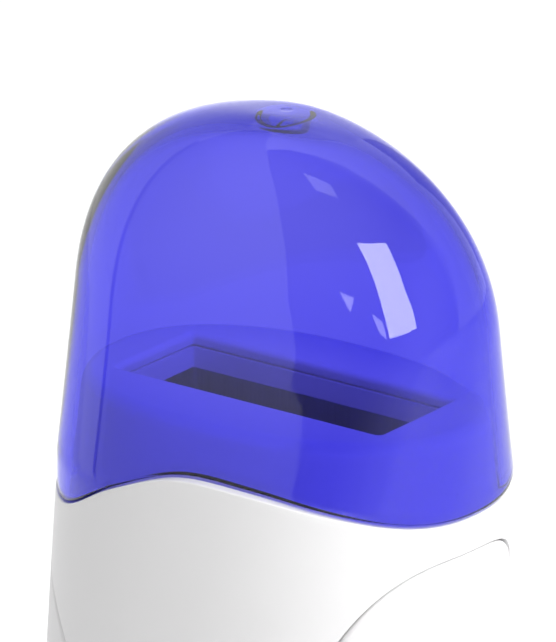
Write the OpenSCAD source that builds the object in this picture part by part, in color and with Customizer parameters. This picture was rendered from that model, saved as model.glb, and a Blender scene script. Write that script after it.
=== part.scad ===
// Roll-on wax heater: white hand-held body with a slot for one roll-on wax cartridge,
// and a clear tinted cap whose wavy edge meets the body. Millimetres, +Z up, front facing -Y,
// origin on the table under the middle of the foot.

/* [Overall] */
// Height from the table to the top of the dome
total_h = 180; // [176:1:190]
// Power of the oval plan, where 2 is an ellipse
plan_power = 2.25; // [2.15:0.05:2.4]

/* [Body] */
// Width of the body at its shoulder
shoulder_w = 75.6; // [75:0.2:77]
// Depth of the body at its shoulder
shoulder_d = 60.6; // [60.2:0.2:62]
// Width of the foot
foot_w = 83; // [81:0.5:88]
// Depth of the foot
foot_d = 65; // [64.5:0.5:69]
// How far the shoulder's middle stands to the right of the foot's middle
lean_x = 2; // [1.5:0.1:2.2]
// How far the shoulder's middle stands behind the foot's middle
lean_y = 1.5; // [1.2:0.1:1.7]
// Power of the curve that the lean follows from foot to shoulder
lean_power = 2.25; // [2:0.05:3]
// Wall of the body below the ledge
body_wall = 2.8; // [2.6:0.1:3.2]
// Wall of the body above the ledge, beside the neck
rim_wall = 2; // [1.8:0.05:2.1]
// Radius of the foot's outer edge
foot_round = 2; // [1:0.5:3]
// Height of the body's lower edge above the table
foot_gap = 1.2; // [1:0.1:1.6]

/* [Cap] */
// Height of the dome above the shoulder
dome_h = 58.5; // [56:0.5:61]
// Width of the cap
cap_w = 76; // [75.8:0.1:76.6]
// Depth of the cap at the shoulder
cap_d = 61; // [60.8:0.1:61.6]
// Wall of the cap
cap_wall = 2; // [1.6:0.1:2.1]
// Share of the dome's height over which the sides stay straight
dome_straight = 0.45; // [0.35:0.01:0.5]
// Power of the dome's outline seen from the front
dome_power_front = 2.17; // [2:0.05:2.6]
// Power of the dome's outline seen from the side
dome_power_side = 4.6; // [4:0.1:5.2]
// Share of its depth that the dome loses by the top
dome_taper = 0.65; // [0.6:0.01:0.7]
// Gap between the cap's lower edge and the body's upper edge
rim_gap = 0.3; // [0.2:0.05:0.4]
// Radius of the round gate pad inside the dome's top
gate_r = 4.4; // [3.5:0.1:5]
// How far the gate pad stands down from the dome's inner top
gate_h = 0.6; // [0.4:0.1:1]
// How far the cap lifts straight up until it is clear of the body
cap_travel = 60; // [40:5:80]

/* [Deck and slot] */
// Height of the deck above the shoulder
deck_rise = 12.7; // [12:0.1:14]
// Thickness of the deck
deck_t = 2.2; // [1.8:0.1:2.4]
// Distance from the cap's outer face to the neck's outer face
neck_inset = 2.7; // [2.6:0.1:2.9]
// Wall of the neck
neck_wall = 1.8; // [1.6:0.1:2]
// How far the neck reaches below the shoulder
neck_reach = 18.4; // [17:0.2:19]
// Rounding of the deck's outer edge
deck_round = 2; // [1:0.1:2.1]
// Width of the cartridge slot
slot_w = 52; // [51.6:0.2:53]
// Depth of the cartridge slot, front to back
slot_d = 20.5; // [20:0.1:21.4]
// Radius of the slot's corners
slot_r = 0.4; // [0.3:0.1:0.8]
// Height of the chamber's floor, where the cartridge stands, above the table
seat_z = 36.2; // [34:0.1:38]

/* [Side panels] */
// Depth of the right panel, front to back
right_panel_d = 48; // [44:0.5:49]
// Drop from the deck to the top of the right panel
right_panel_drop = 20; // [19.5:0.5:24]
// Depth of the left panel, front to back
left_panel_d = 57; // [52:0.5:57.4]
// Drop from the deck to the top of the left panel
left_panel_drop = 29.2; // [28:0.2:34]
// Height of both panels' lower ends above the table
panel_foot = 18; // [16:0.5:22]
// Power of the panels' rounded outline
panel_power = 3.2; // [3:0.1:3.6]
// How far the right panel's middle stands in front of the body's middle
right_panel_shift = 2; // [1:0.2:2.6]
// Thickness of the panels
panel_t = 1; // [0.8:0.05:1.1]
// Width of the groove round the panels
panel_groove = 0.3; // [0.2:0.05:0.4]

/* [Front controls] */
// Distance from the foot's middle to the line of the window, lamp and button
front_line_x = 4; // [3:0.5:5]
// Height of the button's middle
button_z = 28; // [26:0.5:29]
// Radius of the button
button_r = 6.5; // [5.5:0.1:6.8]
// How far the button stands proud of the body
button_proud = 1; // [1:0.1:1.3]
// Travel of the button
button_travel = 1; // [0.8:0.1:1]
// Height of the lamp's middle
lamp_z = 43.5; // [43:0.5:44.5]
// Radius of the lamp's lens
lamp_r = 2; // [1.6:0.1:2.4]
// Width of the wax level window
window_w = 8; // [7:0.5:9]
// Height of the window's lower end
window_z = 54; // [53.5:0.5:58]
// Drop from the shoulder to the window's upper end
window_drop = 25.5; // [23.5:0.5:30]

/* [Chamber] */
// Wall of the aluminium chamber
chamber_wall = 1.2; // [1:0.1:1.3]
// Room between the slot's edge and the chamber's wall
chamber_room = 0.3; // [0.25:0.05:0.4]
// Height of the light band of the collar below the deck
collar_h = 3.5; // [3:0.1:3.8]
// How far the collar steps into the slot
collar_step = 0.2; // [0.15:0.05:0.3]
// Thickness of a heater pack
heater_t = 5; // [4:0.1:5.2]
// Width of a heater pack
heater_w = 36; // [32:0.5:38]
// Height of a heater pack
heater_h = 26; // [22:0.5:28]
// Thickness of the insulating sheet
sheet_t = 2; // [1.5:0.1:2.4]

/* [Base] */
// Thickness of the base plate
base_t = 2.5; // [2.2:0.1:3]
// Radius of a rubber foot
pad_r = 5; // [4:0.1:5.5]
// Thickness of a rubber foot
pad_t = 2; // [1.9:0.1:2.3]
// Height of the inlet's middle
inlet_z = 16; // [15.5:0.5:17.5]
// Distance between the inlet's pins
pin_spacing = 8.6; // [8.4:0.1:8.8]
// Radius of an inlet pin
pin_r = 1.2; // [1.1:0.05:1.3]
// Length of an inlet pin
pin_length = 9; // [8:0.5:9.5]
// Radius of the shank of a body screw
screw_r = 1.5; // [1.3:0.05:1.6]
// Length of the shank of a body screw
screw_length = 12; // [10:0.5:13]

/* [Fits] */
// Gap between pieces that fit into each other
fit_gap = 0.2; // [0.15:0.05:0.25]
// Gap between pieces that move past each other
slide_gap = 0.3; // [0.25:0.05:0.35]

/* [Hidden] */
$fn = 48;

// Number of points round a shell, and the smallest cut that reaches past a face
ring_n = 64;
past = 1;
// Height of the wavy edge above the shoulder, against the distance across the cap,
// as a share of half its width
wave = [[-1, -5.4], [-0.7, -6.5], [-0.35, 0.4], [0, 5.2], [0.35, 5.1], [0.7, 2.5], [1, -1.1]];

shoulder_z = total_h - dome_h;
deck_z = shoulder_z + deck_rise;
floor_z = seat_z;
ledge_z = shoulder_z - neck_reach - slide_gap;
window_h = shoulder_z - window_drop - window_z;
mid_x = lean_x;
mid_y = lean_y;

chamber_w = slot_w + 2 * chamber_room;
chamber_d = slot_d + 2 * chamber_room;
chamber_out_w = chamber_w + 2 * chamber_wall;
chamber_out_d = chamber_d + 2 * chamber_wall;
collar_top = deck_z - deck_t - 0.15;
collar_wall = 1.2;
collar_hold = 4;
collar_screw_r = 0.9;
chamber_top = collar_top - collar_h - 0.1;
collar_out_w = chamber_out_w + 2 * collar_wall + 2 * fit_gap;
collar_out_d = chamber_out_d + 2 * collar_wall + 2 * fit_gap;
ear_x = collar_out_w / 2 + 2 * collar_screw_r + 0.2;
ear_r = 2;
rib_h = 4.5;
rib_t = 1.4;
rib_w = 40;
neck_gap = 0.3;

base_z = foot_gap;
base_top = base_z + base_t;
tray_t = 3.8;
tray_rim = 4;
tray_wall = 1.5;
post_r = 3;
post_x = 17;
post_y = 7;

switch_body = 8.5;
plunger_r = 1.75;
column_w = 5;
column_deep = 3.2;
board_t = 1.6;
board_w = 32;
tray_front = mid_y - chamber_out_d / 2 - fit_gap - tray_wall;
board_y = tray_front - 0.3 - column_deep - 0.05 - board_t;
board_z = 14;
board_top = 50;
board_screw_x = 12.5;
board_screw_low = 18;
board_screw_high = 44;
board_screw_r = 1.1;
button_skirt = 1.5;
button_flange_t = 1.2;

inlet_w = 20;
inlet_h = 11;
inlet_deep = 14.5;
inlet_round = 2;
cavity_r = 3.95;
clamp_t = 0.8;
clamp_h = 12;
clamp_reach = 25;
rivet_x = 22;
rivet_r = 0.8;
cavity_deep = 10;
spring_t = 0.4;
spring_bow = 1;
spring_reach = 20;
spring_w = 8;
thermostat_w = 7.6;
thermostat_h = 18;
thermostat_t = 3.7;
tag_t = 0.7;
tag_h = 2.5;
tag_space = 1.5;
fuse_r = 2;
fuse_h = 12;
fuse_wire = 4;

// A number's power that keeps its sign
function spow(v, p) = sign(v) * pow(abs(v), p);

// A smooth curve through listed points [x, y], with even or uneven steps in x
function slope(list, i) =
    i == 0 ? (list[1][1] - list[0][1]) / (list[1][0] - list[0][0]) :
    i == len(list) - 1 ? (list[i][1] - list[i - 1][1]) / (list[i][0] - list[i - 1][0]) :
    (list[i + 1][1] - list[i - 1][1]) / (list[i + 1][0] - list[i - 1][0]);
function span(list, x, i = 0) = i >= len(list) - 2 || x <= list[i + 1][0] ? i : span(list, x, i + 1);
function curve(list, x) =
    let(
        i = span(list, x),
        d = list[i + 1][0] - list[i][0],
        u = (x - list[i][0]) / d,
        m0 = slope(list, i) * d,
        m1 = slope(list, i + 1) * d
    )
    (2 * u * u * u - 3 * u * u + 1) * list[i][1] + (u * u * u - 2 * u * u + u) * m0 +
    (3 * u * u - 2 * u * u * u) * list[i + 1][1] + (u * u * u - u * u) * m1;

// Height of the wavy edge at a distance x from the cap's middle
function edge_z(x) = shoulder_z + curve(wave, max(-1, min(1, x / (cap_w / 2))));

// The body: half width, half depth and middle of its plan at a height
function up(z) = max(0, min(1, z / shoulder_z));
function body_hw(z) = shoulder_w / 2 + (foot_w - shoulder_w) / 2 * (1 - up(z));
function body_hd(z) = shoulder_d / 2 + (foot_d - shoulder_d) / 2 * pow(1 - up(z), 3);
function body_mid(z) = [lean_x, lean_y] * pow(up(z), lean_power);
function oval(hw, hd, n, a) = [hw * spow(cos(a), 2 / n), hd * spow(sin(a), 2 / n)];
function body_point(z, a, inset) =
    let(c = body_mid(z), p = oval(body_hw(z) - inset, body_hd(z) - inset, plan_power, a))
    [c[0] + p[0], c[1] + p[1], z];
function body_edge(a) = edge_z(oval(cap_w / 2, 0, plan_power, a)[0]) - rim_gap;
// The front face of the body at a place x, z, and the rear one
function front_y(x, z, inset = 0) =
    let(c = body_mid(z), w = body_hw(z) - inset, d = body_hd(z) - inset)
    c[1] - d * pow(1 - pow(min(1, abs(x - c[0]) / w), plan_power), 1 / plan_power);
function rear_y(x, z, inset = 0) = 2 * body_mid(z)[1] - front_y(x, z, inset);

// The dome: a wedge whose front outline keeps straight and then rounds over
function dome_point(z, a, inset) =
    let(
        q = max(0, min(1, (z - shoulder_z) / (dome_h - inset))),
        u = max(0, (q - dome_straight) / (1 - dome_straight)),
        hw = (cap_w / 2 - inset) * pow(1 - pow(u, dome_power_front), 1 / dome_power_front),
        hd = (cap_d / 2 - inset) * (1 - dome_taper * q) *
            pow(1 - pow(q, dome_power_side), 1 / dome_power_side),
        p = oval(hw, hd, plan_power - 0.17 * q, a)
    )
    [mid_x + p[0], mid_y + p[1], z];
// Rows of the dome crowd towards the top, where the surface lies flat
function dome_row(share, a, inset) =
    let(low = edge_z(oval(cap_w / 2, 0, plan_power, a)[0]))
    dome_point(low + (shoulder_z + dome_h - inset - low) * (1 - pow(1 - share, 2.2)), a, inset);
// The neck follows the cap's outline at a distance, and the body's below the shoulder
function neck_point(z, a, inset) =
    z < shoulder_z ? body_point(z, a, rim_wall + neck_gap + inset) :
    let(
        q = (z - shoulder_z) / dome_h,
        hd = cap_d / 2 * (1 - dome_taper * q) - neck_inset - inset,
        p = oval(cap_w / 2 - neck_inset - inset, hd, plan_power, a)
    )
    [mid_x + p[0], mid_y + p[1], z];

function ring_angles() = [for (i = [0 : ring_n - 1]) 360 * i / ring_n];
function flat(list) = [for (a = list) for (b = a) b];
// Triangles of a band between two rings of n points, seen from outside or from inside
function band(n, a, b, outside = true) =
    flat([for (i = [0 : n - 1])
        let(k = (i + 1) % n)
        outside ? [[a + i, b + i, b + k], [a + i, b + k, a + k]] :
                  [[a + i, b + k, b + i], [a + i, a + k, b + k]]]);
function bands(n, start, count, outside = true) =
    flat([for (j = [0 : count - 2]) band(n, start + j * n, start + (j + 1) * n, outside)]);
function fan(n, start, pole, outside = true) =
    [for (i = [0 : n - 1])
        let(k = (i + 1) % n)
        outside ? [start + i, pole, start + k] : [start + i, start + k, pole]];

// A wall between outer rings and inner rings, open at both ends
module wall(outer, inner) {
    n = len(outer[0]);
    a = len(outer);
    b = len(inner);
    polyhedron(
        points = concat(flat(outer), flat(inner)),
        faces = concat(
            bands(n, 0, a),
            bands(n, a * n, b, false),
            band(n, 0, a * n, false),
            band(n, (a - 1) * n, (a + b - 1) * n)
        ),
        convexity = 6
    );
}

// A wall between outer and inner rings that a flat top closes
module cup(outer, inner) {
    n = len(outer[0]);
    a = len(outer);
    b = len(inner);
    polyhedron(
        points = concat(flat(outer), flat(inner)),
        faces = concat(
            bands(n, 0, a),
            bands(n, a * n, b, false),
            band(n, 0, a * n, false),
            [[for (i = [n - 1 : -1 : 0]) (a - 1) * n + i]],
            [[for (i = [0 : n - 1]) (a + b - 1) * n + i]]
        ),
        convexity = 6
    );
}

// A dome between outer and inner rings, each closed by a pole
module dome_shell(outer, inner, top, under) {
    n = len(outer[0]);
    a = len(outer);
    b = len(inner);
    last = (a + b) * n;
    polyhedron(
        points = concat(flat(outer), flat(inner), [top, under]),
        faces = concat(
            bands(n, 0, a),
            bands(n, a * n, b, false),
            band(n, 0, a * n, false),
            fan(n, (a - 1) * n, last),
            fan(n, (a + b - 1) * n, last + 1, false)
        ),
        convexity = 6
    );
}

// A box with rounded upright edges, its middle at the origin of x and y
module round_box(w, d, h, r) {
    translate([-w / 2 + r, -d / 2, 0]) cube([w - 2 * r, d, h]);
    translate([-w / 2, -d / 2 + r, 0]) cube([w, d - 2 * r, h]);
    for (x = [-1, 1], y = [-1, 1]) translate([x * (w / 2 - r), y * (d / 2 - r), 0]) cylinder(r = r, h = h);
}

// The same box lying along Y, from y = 0 to y = length, its middle at the origin of x and z
module round_bar(w, h, length, r) {
    translate([0, length, 0]) rotate([90, 0, 0]) round_box(w, h, length, r);
}

// A rod along Y from y = 0
module rod_y(r, length) {
    translate([0, length, 0]) rotate([90, 0, 0]) cylinder(r = r, h = length);
}

// A round lead that follows listed points, smoothed between them
function unit(v) = v / norm(v);
function smooth_path(p, steps) =
    concat(
        flat([for (i = [0 : len(p) - 2])
            let(
                a = p[max(0, i - 1)],
                b = p[i],
                c = p[i + 1],
                d = p[min(len(p) - 1, i + 2)]
            )
            [for (s = [0 : steps - 1])
                let(u = s / steps)
                0.5 * (2 * b + (c - a) * u + (2 * a - 5 * b + 4 * c - d) * u * u +
                    (3 * b - a - 3 * c + d) * u * u * u)]]),
        [p[len(p) - 1]]
    );
function tangent(p, i) = unit(p[min(len(p) - 1, i + 1)] - p[max(0, i - 1)]);
function carried(p, i, side) =
    let(t = tangent(p, i), s = side - (side * t) * t)
    unit(s);
function sides_along(p, i, side) =
    let(s = carried(p, i, side))
    i == len(p) - 1 ? [s] : concat([s], sides_along(p, i + 1, s));
module lead(points, r, side = [1, 0, 0], n = 8, steps = 3) {
    p = smooth_path(points, steps);
    s = sides_along(p, 0, side);
    rings = [for (i = [0 : len(p) - 1])
        let(t = tangent(p, i), v = cross(t, s[i]))
        [for (k = [0 : n - 1]) p[i] + r * (cos(360 * k / n) * s[i] + sin(360 * k / n) * v)]];
    last = (len(p) - 1) * n;
    polyhedron(
        points = flat(rings),
        faces = concat(
            bands(n, 0, len(p)),
            [[for (i = [0 : n - 1]) i]],
            [[for (i = [n - 1 : -1 : 0]) last + i]]
        ),
        convexity = 4
    );
}

// A pan-head screw along +Z: the head's top lies at z = 0 and the shank points up
module screw(r, length) {
    head_r = 2 * r;
    head_h = 1.1 * r;
    difference() {
        cylinder(r = head_r, h = head_h);
        for (a = [0, 90]) rotate([0, 0, a]) translate([-1.2 * r, -0.2 * r, -past]) {
            cube([2.4 * r, 0.4 * r, past + 0.5 * head_h]);
        }
    }
    translate([0, 0, head_h - 0.01]) cylinder(r = r, h = length);
}

// Outline of a side panel on the body: side is 1 on the right and -1 on the left
function panel_plan(side) =
    side > 0 ? [right_panel_d / 2, deck_z - right_panel_drop, -right_panel_shift] :
               [left_panel_d / 2, deck_z - left_panel_drop, 0];
function panel_point(side, a, share, grow, inset) =
    let(
        plan = panel_plan(side),
        half_h = (plan[1] - panel_foot) / 2,
        mid = panel_foot + half_h,
        y = plan[2] + (plan[0] + grow) * spow(sin(a), 2 / panel_power),
        z = mid + (half_h + grow) * spow(cos(a), 2 / panel_power),
        around = asin(max(-1, min(1, spow(y / body_hd(z), plan_power / 2)))),
        around_mid = asin(spow(plan[2] / body_hd(mid), plan_power / 2)),
        at = around_mid + (around - around_mid) * share,
        at_z = mid + (z - mid) * share
    )
    body_point(at_z, side > 0 ? at : 180 - at, inset);
// A curved slab of the body's skin inside that outline
module skin_slab(side, grow, out, deep) {
    n = 48;
    rows = 6;
    angles = [for (i = [0 : n - 1]) 360 * i / n];
    function layer(inset) =
        [for (j = [1 : rows]) [for (a = angles) panel_point(side, a, j / rows, grow, inset)]];
    outer = layer(-out);
    inner = layer(deep);
    half = rows * n;
    last = 2 * half;
    outside = side > 0;
    polyhedron(
        points = concat(
            flat(outer),
            flat(inner),
            [panel_point(side, 0, 0, grow, -out), panel_point(side, 0, 0, grow, deep)]
        ),
        faces = concat(
            fan(n, 0, last, !outside),
            bands(n, 0, rows, outside),
            fan(n, half, last + 1, outside),
            bands(n, half, rows, !outside),
            band(n, (rows - 1) * n, half + (rows - 1) * n, outside)
        ),
        convexity = 6
    );
}

// Rings of the body between the foot and a height share of the wavy edge
function body_rings(inset) =
    let(low = foot_gap + foot_round)
    concat(
        [for (a = [0 : 30 : 60])
            [for (t = ring_angles())
                body_point(foot_gap + foot_round * (1 - cos(a)), t, inset + foot_round * (1 - sin(a)))]],
        [for (s = [0 : 1 / 8 : 1])
            [for (t = ring_angles())
                body_point(low + (body_edge(t) - low) * s, t, inset)]]
    );

module cap() {
    rows = 17;
    color([0.4, 0.37, 0.92, 0.6]) {
        union() {
            dome_shell(
                [for (j = [0 : rows - 1]) [for (a = ring_angles()) dome_row(j / rows, a, 0)]],
                [for (j = [0 : rows - 1]) [for (a = ring_angles()) dome_row(j / rows, a, cap_wall)]],
                [mid_x, mid_y, total_h],
                [mid_x, mid_y, total_h - cap_wall]
            );
            translate([mid_x, mid_y, total_h - cap_wall - gate_h]) {
                cylinder(r = gate_r, h = cap_wall / 2 + gate_h);
            }
        }
    }
}

module top_deck() {
    inner_top = deck_z - deck_t;
    low = shoulder_z - neck_reach;
    outer_rows = [
        [low, 0], [low + neck_reach / 2, 0], [shoulder_z, 0], [shoulder_z + deck_rise / 2, 0],
        [deck_z - deck_round, 0], [deck_z - deck_round * 0.5, deck_round * 0.13],
        [deck_z - deck_round * 0.13, deck_round * 0.5], [deck_z, deck_round]
    ];
    inner_rows = [
        [low, 0], [low + neck_reach / 2, 0], [shoulder_z, 0], [shoulder_z + deck_rise / 2, 0],
        [inner_top, 0]
    ];
    latch_z = shoulder_z + 2.5;
    latch_r = 1.2;
    rib_y = collar_out_d / 2 + fit_gap;
    color("white") {
        difference() {
            union() {
                cup(
                    [for (row = outer_rows) [for (a = ring_angles()) neck_point(row[0], a, row[1])]],
                    [for (row = inner_rows) [for (a = ring_angles()) neck_point(row[0], a, neck_wall)]]
                );
                for (s = [-1, 1]) {
                    translate([
                        mid_x - rib_w / 2, mid_y + (s > 0 ? rib_y : -rib_y - rib_t), inner_top - rib_h
                    ]) {
                        cube([rib_w, rib_t, rib_h + deck_t / 2]);
                    }
                    translate([mid_x + s * (cap_w / 2 - neck_inset - latch_r + 0.25), mid_y - 3, latch_z]) {
                        rod_y(latch_r, 6);
                    }
                }
            }
            translate([mid_x, mid_y, deck_z - deck_t - past]) {
                round_box(slot_w, slot_d, deck_t + 2 * past, slot_r);
            }
            for (s = [-1, 1]) translate([mid_x + s * ear_x, mid_y, inner_top - past]) {
                cylinder(r = collar_screw_r, h = past + deck_t * 0.6);
            }
        }
    }
}

module body_shell() {
    ledge_in = rim_wall + neck_gap + neck_wall;
    low_rows = [foot_gap, foot_gap + foot_round, shoulder_z / 3, shoulder_z * 2 / 3, ledge_z - 4];
    inner_low = [for (z = low_rows)
        [for (a = ring_angles()) body_point(z, a, body_wall)]];
    inner_high = [
        [for (a = ring_angles()) body_point(ledge_z - 2, a, ledge_in)],
        [for (a = ring_angles()) body_point(ledge_z, a, ledge_in)],
        [for (a = ring_angles()) body_point(ledge_z, a, rim_wall)],
        [for (a = ring_angles()) body_point(body_edge(a), a, rim_wall)]
    ];
    color("white") {
        difference() {
            union() {
                wall(body_rings(0), concat(inner_low, inner_high));
                for (p = boss_places()) translate([p[0], p[1], base_top + fit_gap]) {
                    cylinder(r = boss_r(), h = screw_length);
                }
            }
            skin_slab(1, panel_groove, 2, panel_t + 0.25);
            skin_slab(-1, panel_groove, 2, panel_t + 0.25);
            translate([front_line_x, front_y(front_line_x, button_z) - 5, button_z]) {
                rod_y(button_r + slide_gap, 5 + body_wall + 2);
            }
            translate([front_line_x, front_y(front_line_x, lamp_z) - 5, lamp_z]) {
                rod_y(lamp_r + fit_gap, 5 + body_wall + 2);
            }
            translate([front_line_x, front_y(front_line_x, window_z) - 5, window_z + window_h / 2]) {
                round_bar(window_w, window_h, 5 + body_wall + 3, window_w / 2 - 0.01);
            }
            translate([0, rear_y(0, inlet_z) - body_wall - 4, inlet_z]) {
                round_bar(inlet_w + 2 * fit_gap, inlet_h + 2 * fit_gap, body_wall + 9, inlet_round);
            }
            for (p = boss_places()) translate([p[0], p[1], base_top]) {
                cylinder(r = screw_r + 0.05, h = screw_length - 1);
            }
        }
    }
}

function boss_r() = 2 * screw_r + 1.9;
// Middles of the screw bosses, which sink a little into the wall
function boss_places() =
    [for (a = [40, 140, 220, 320])
        let(p = body_point(base_top, a, body_wall + boss_r() - 0.6))
        [p[0], p[1]]];

module side_panel_right() {
    color("white") skin_slab(1, 0, -0.02, panel_t);
}

module side_panel_left() {
    color("white") skin_slab(-1, 0, -0.02, panel_t);
}

module window_lens() {
    gap = 0.15;
    low = window_z + gap;
    high = window_z + window_h - gap;
    rows = [low - 1, (low + high) / 2, high + 1];
    flange = 1.2;
    color([0.8, 0.85, 0.95, 0.5]) {
        intersection() {
            wall(
                [for (z = rows) [for (a = ring_angles()) body_point(z, a, 0.1)]],
                [for (z = rows) [for (a = ring_angles()) body_point(z, a, body_wall - 0.2)]]
            );
            translate([front_line_x, front_y(front_line_x, window_z) - 5, (low + high) / 2]) {
                round_bar(window_w - 2 * gap, high - low, 12, window_w / 2 - gap - 0.01);
            }
        }
    }
}

module window_tunnel() {
    front = front_y(front_line_x + window_w / 2 + 1.6, window_z + window_h, body_wall) + slide_gap;
    back = mid_y - chamber_out_d / 2 - fit_gap;
    color("white") {
        translate([front_line_x, front, window_z + window_h / 2]) difference() {
            round_bar(window_w + 3.2, window_h + 3.2, back - front, 3);
            translate([0, -past, 0]) round_bar(window_w, window_h, back - front + 2 * past, 1.6);
        }
    }
}

module indicator_lens() {
    face = front_y(front_line_x, lamp_z);
    back = face + body_wall + slide_gap;
    color("orange") {
        translate([front_line_x, face - 0.6, lamp_z]) rod_y(lamp_r, back - face + 0.6 + 1);
        translate([front_line_x, back, lamp_z]) rod_y(lamp_r + 1.2, 1.2);
    }
}

// Middle line of the button: its face, the front of its flange, and the end of its stem
function button_face() = front_y(front_line_x, button_z) - button_proud;
function button_flange() =
    front_y(front_line_x + button_r + button_skirt, button_z + button_r, body_wall) + slide_gap;
function switch_deep() = 0.68 * (board_y - button_flange() - button_flange_t);
function switch_face() = board_y - switch_deep();
function plunger_face() = switch_face() - button_travel - 1;

module power_button() {
    edge = 0.8;
    color([0.3, 0.3, 0.75]) {
        translate([front_line_x, 0, button_z]) {
            difference() {
                union() {
                    translate([0, button_face(), 0]) rotate([-90, 0, 0]) rotate_extrude() {
                        polygon([
                            [0, 0.25], [button_r * 0.6, 0.05], [button_r - edge, 0],
                            [button_r - 0.3 * edge, 0.3 * edge], [button_r, edge],
                            [button_r, button_flange() - button_face() + 0.1],
                            [0, button_flange() - button_face() + 0.1]
                        ]);
                    }
                    translate([0, button_flange(), 0]) rod_y(button_r + button_skirt, button_flange_t);
                    translate([0, button_flange(), 0]) {
                        rod_y(plunger_r + 1, plunger_face() - button_flange());
                    }
                }
            }
        }
    }
}

module switch_plunger() {
    color("gainsboro") {
        translate([front_line_x, plunger_face(), button_z]) {
            rod_y(plunger_r, board_y - plunger_face() - button_travel - 0.4);
        }
    }
}

module push_switch() {
    color([0.15, 0.15, 0.17]) {
        translate([front_line_x, switch_face(), button_z]) difference() {
            round_bar(switch_body, switch_body, switch_deep(), 0.6);
            translate([0, -past, 0]) rod_y(plunger_r + 0.08, switch_deep() - 0.2 + past);
        }
    }
}

module indicator_lamp() {
    r = 1.5;
    long = 4;
    color("orange") {
        translate([front_line_x, board_y - long, lamp_z]) {
            rod_y(r, long);
            sphere(r = r);
            translate([0, long - 1, 0]) rod_y(r + 0.4, 1);
        }
    }
}

module control_board() {
    color([0.1, 0.4, 0.22]) {
        translate([front_line_x - board_w / 2, board_y, board_z]) difference() {
            cube([board_w, board_t, board_top - board_z]);
            for (s = [-1, 1], z = [board_screw_low, board_screw_high]) {
                translate([board_w / 2 + s * board_screw_x, -past, z - board_z]) {
                    rod_y(board_screw_r + 0.15, board_t + 2 * past);
                }
            }
        }
        // a resistor and two small capacitors
        translate([front_line_x - 13, board_y - 1.3, 32]) rotate([0, 90, 0]) cylinder(r = 1.2, h = 6);
        translate([front_line_x + 9, board_y - 5.9, 30]) rod_y(2.5, 6);
        translate([front_line_x + 9, board_y - 5.9, 37]) rod_y(2, 6);
    }
}

module board_screws() {
    color("silver") {
        for (s = [-1, 1], z = [board_screw_low, board_screw_high]) {
            translate([front_line_x + s * board_screw_x, board_y - 1.1 * board_screw_r, z]) {
                rotate([-90, 0, 0]) screw(board_screw_r, board_t + column_deep - 0.6);
            }
        }
    }
}

module chamber_collar() {
    low = chamber_top - collar_hold;
    color("white") {
        translate([mid_x, mid_y, 0]) difference() {
            union() {
                translate([0, 0, low]) {
                    round_box(collar_out_w, collar_out_d, collar_top - low, 5);
                }
                for (s = [-1, 1]) translate([s * ear_x, 0, collar_top - 2]) cylinder(r = ear_r, h = 2);
            }
            translate([0, 0, low - past]) {
                round_box(
                    slot_w - 2 * collar_step, slot_d - 2 * collar_step,
                    collar_top - low + 2 * past, slot_r
                );
                round_box(
                    chamber_out_w + 2 * fit_gap, chamber_out_d + 2 * fit_gap,
                    chamber_top + 0.1 - low + past, 2.6
                );
            }
            for (s = [-1, 1]) translate([s * ear_x, 0, low]) cylinder(r = collar_screw_r + 0.15, h = 12);
        }
    }
}

module collar_screws() {
    color("silver") {
        for (s = [-1, 1]) {
            translate([mid_x + s * ear_x, mid_y, collar_top - 2 - 1.1 * collar_screw_r]) {
                screw(collar_screw_r, 2.9);
            }
        }
    }
}

module heating_chamber() {
    color([0.55, 0.56, 0.6]) {
        difference() {
            translate([mid_x, mid_y, floor_z + 0.1]) difference() {
                round_box(chamber_out_w, chamber_out_d, chamber_top - floor_z - 0.1, 2.4);
                translate([0, 0, -past]) {
                    round_box(chamber_w, chamber_d, chamber_top - floor_z + 2 * past, 1.2);
                }
            }
            translate([front_line_x, mid_y - chamber_out_d / 2 - past, window_z + window_h / 2]) {
                round_bar(window_w, window_h, chamber_wall + 2 * past, 1.6);
            }
            for (z = heater_places(), s = [-1, 1]) {
                translate([mid_x + s * rivet_x, mid_y + chamber_d / 2 - past, z + heater_h / 2]) {
                    rod_y(rivet_r + 0.05, chamber_wall + 2 * past);
                }
            }
        }
    }
}

module cartridge_springs() {
    big = (spring_reach * spring_reach + spring_bow * spring_bow) / (2 * spring_bow);
    mid = floor_z + 0.64 * (chamber_top - floor_z);
    off = chamber_w / 2 - 0.05 - spring_bow - spring_t + big;
    color("silver") {
        for (s = [-1, 1]) {
            translate([mid_x + s * off, mid_y + spring_w / 2, mid]) {
                rotate([90, 0, 0]) linear_extrude(spring_w) {
                    intersection() {
                        difference() {
                            circle(r = big, $fn = 180);
                            circle(r = big - spring_t, $fn = 180);
                        }
                        translate([s > 0 ? -big : big - 2 * spring_bow - spring_t, -spring_reach]) {
                            square([2 * spring_bow + spring_t, 2 * spring_reach]);
                        }
                    }
                }
            }
        }
    }
}

module chamber_floor() {
    w = chamber_out_w + 2 * fit_gap;
    d = chamber_out_d + 2 * fit_gap;
    color("ivory") {
        translate([mid_x, mid_y, floor_z - tray_t]) difference() {
            round_box(w + 2 * tray_wall, d + 2 * tray_wall, tray_t + tray_rim, 2);
            translate([0, 0, tray_t]) round_box(w, d, tray_rim + past, 1.6);
        }
    }
}

// Lowest points of the two heater packs
function heater_places() = [floor_z + 10, chamber_top - 12 - heater_h];

module heater_packs() {
    color("silver") {
        for (z = heater_places()) {
            translate([mid_x - heater_w / 2, mid_y + chamber_out_d / 2, z]) {
                cube([heater_w, heater_t, heater_h]);
            }
        }
    }
}

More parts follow.
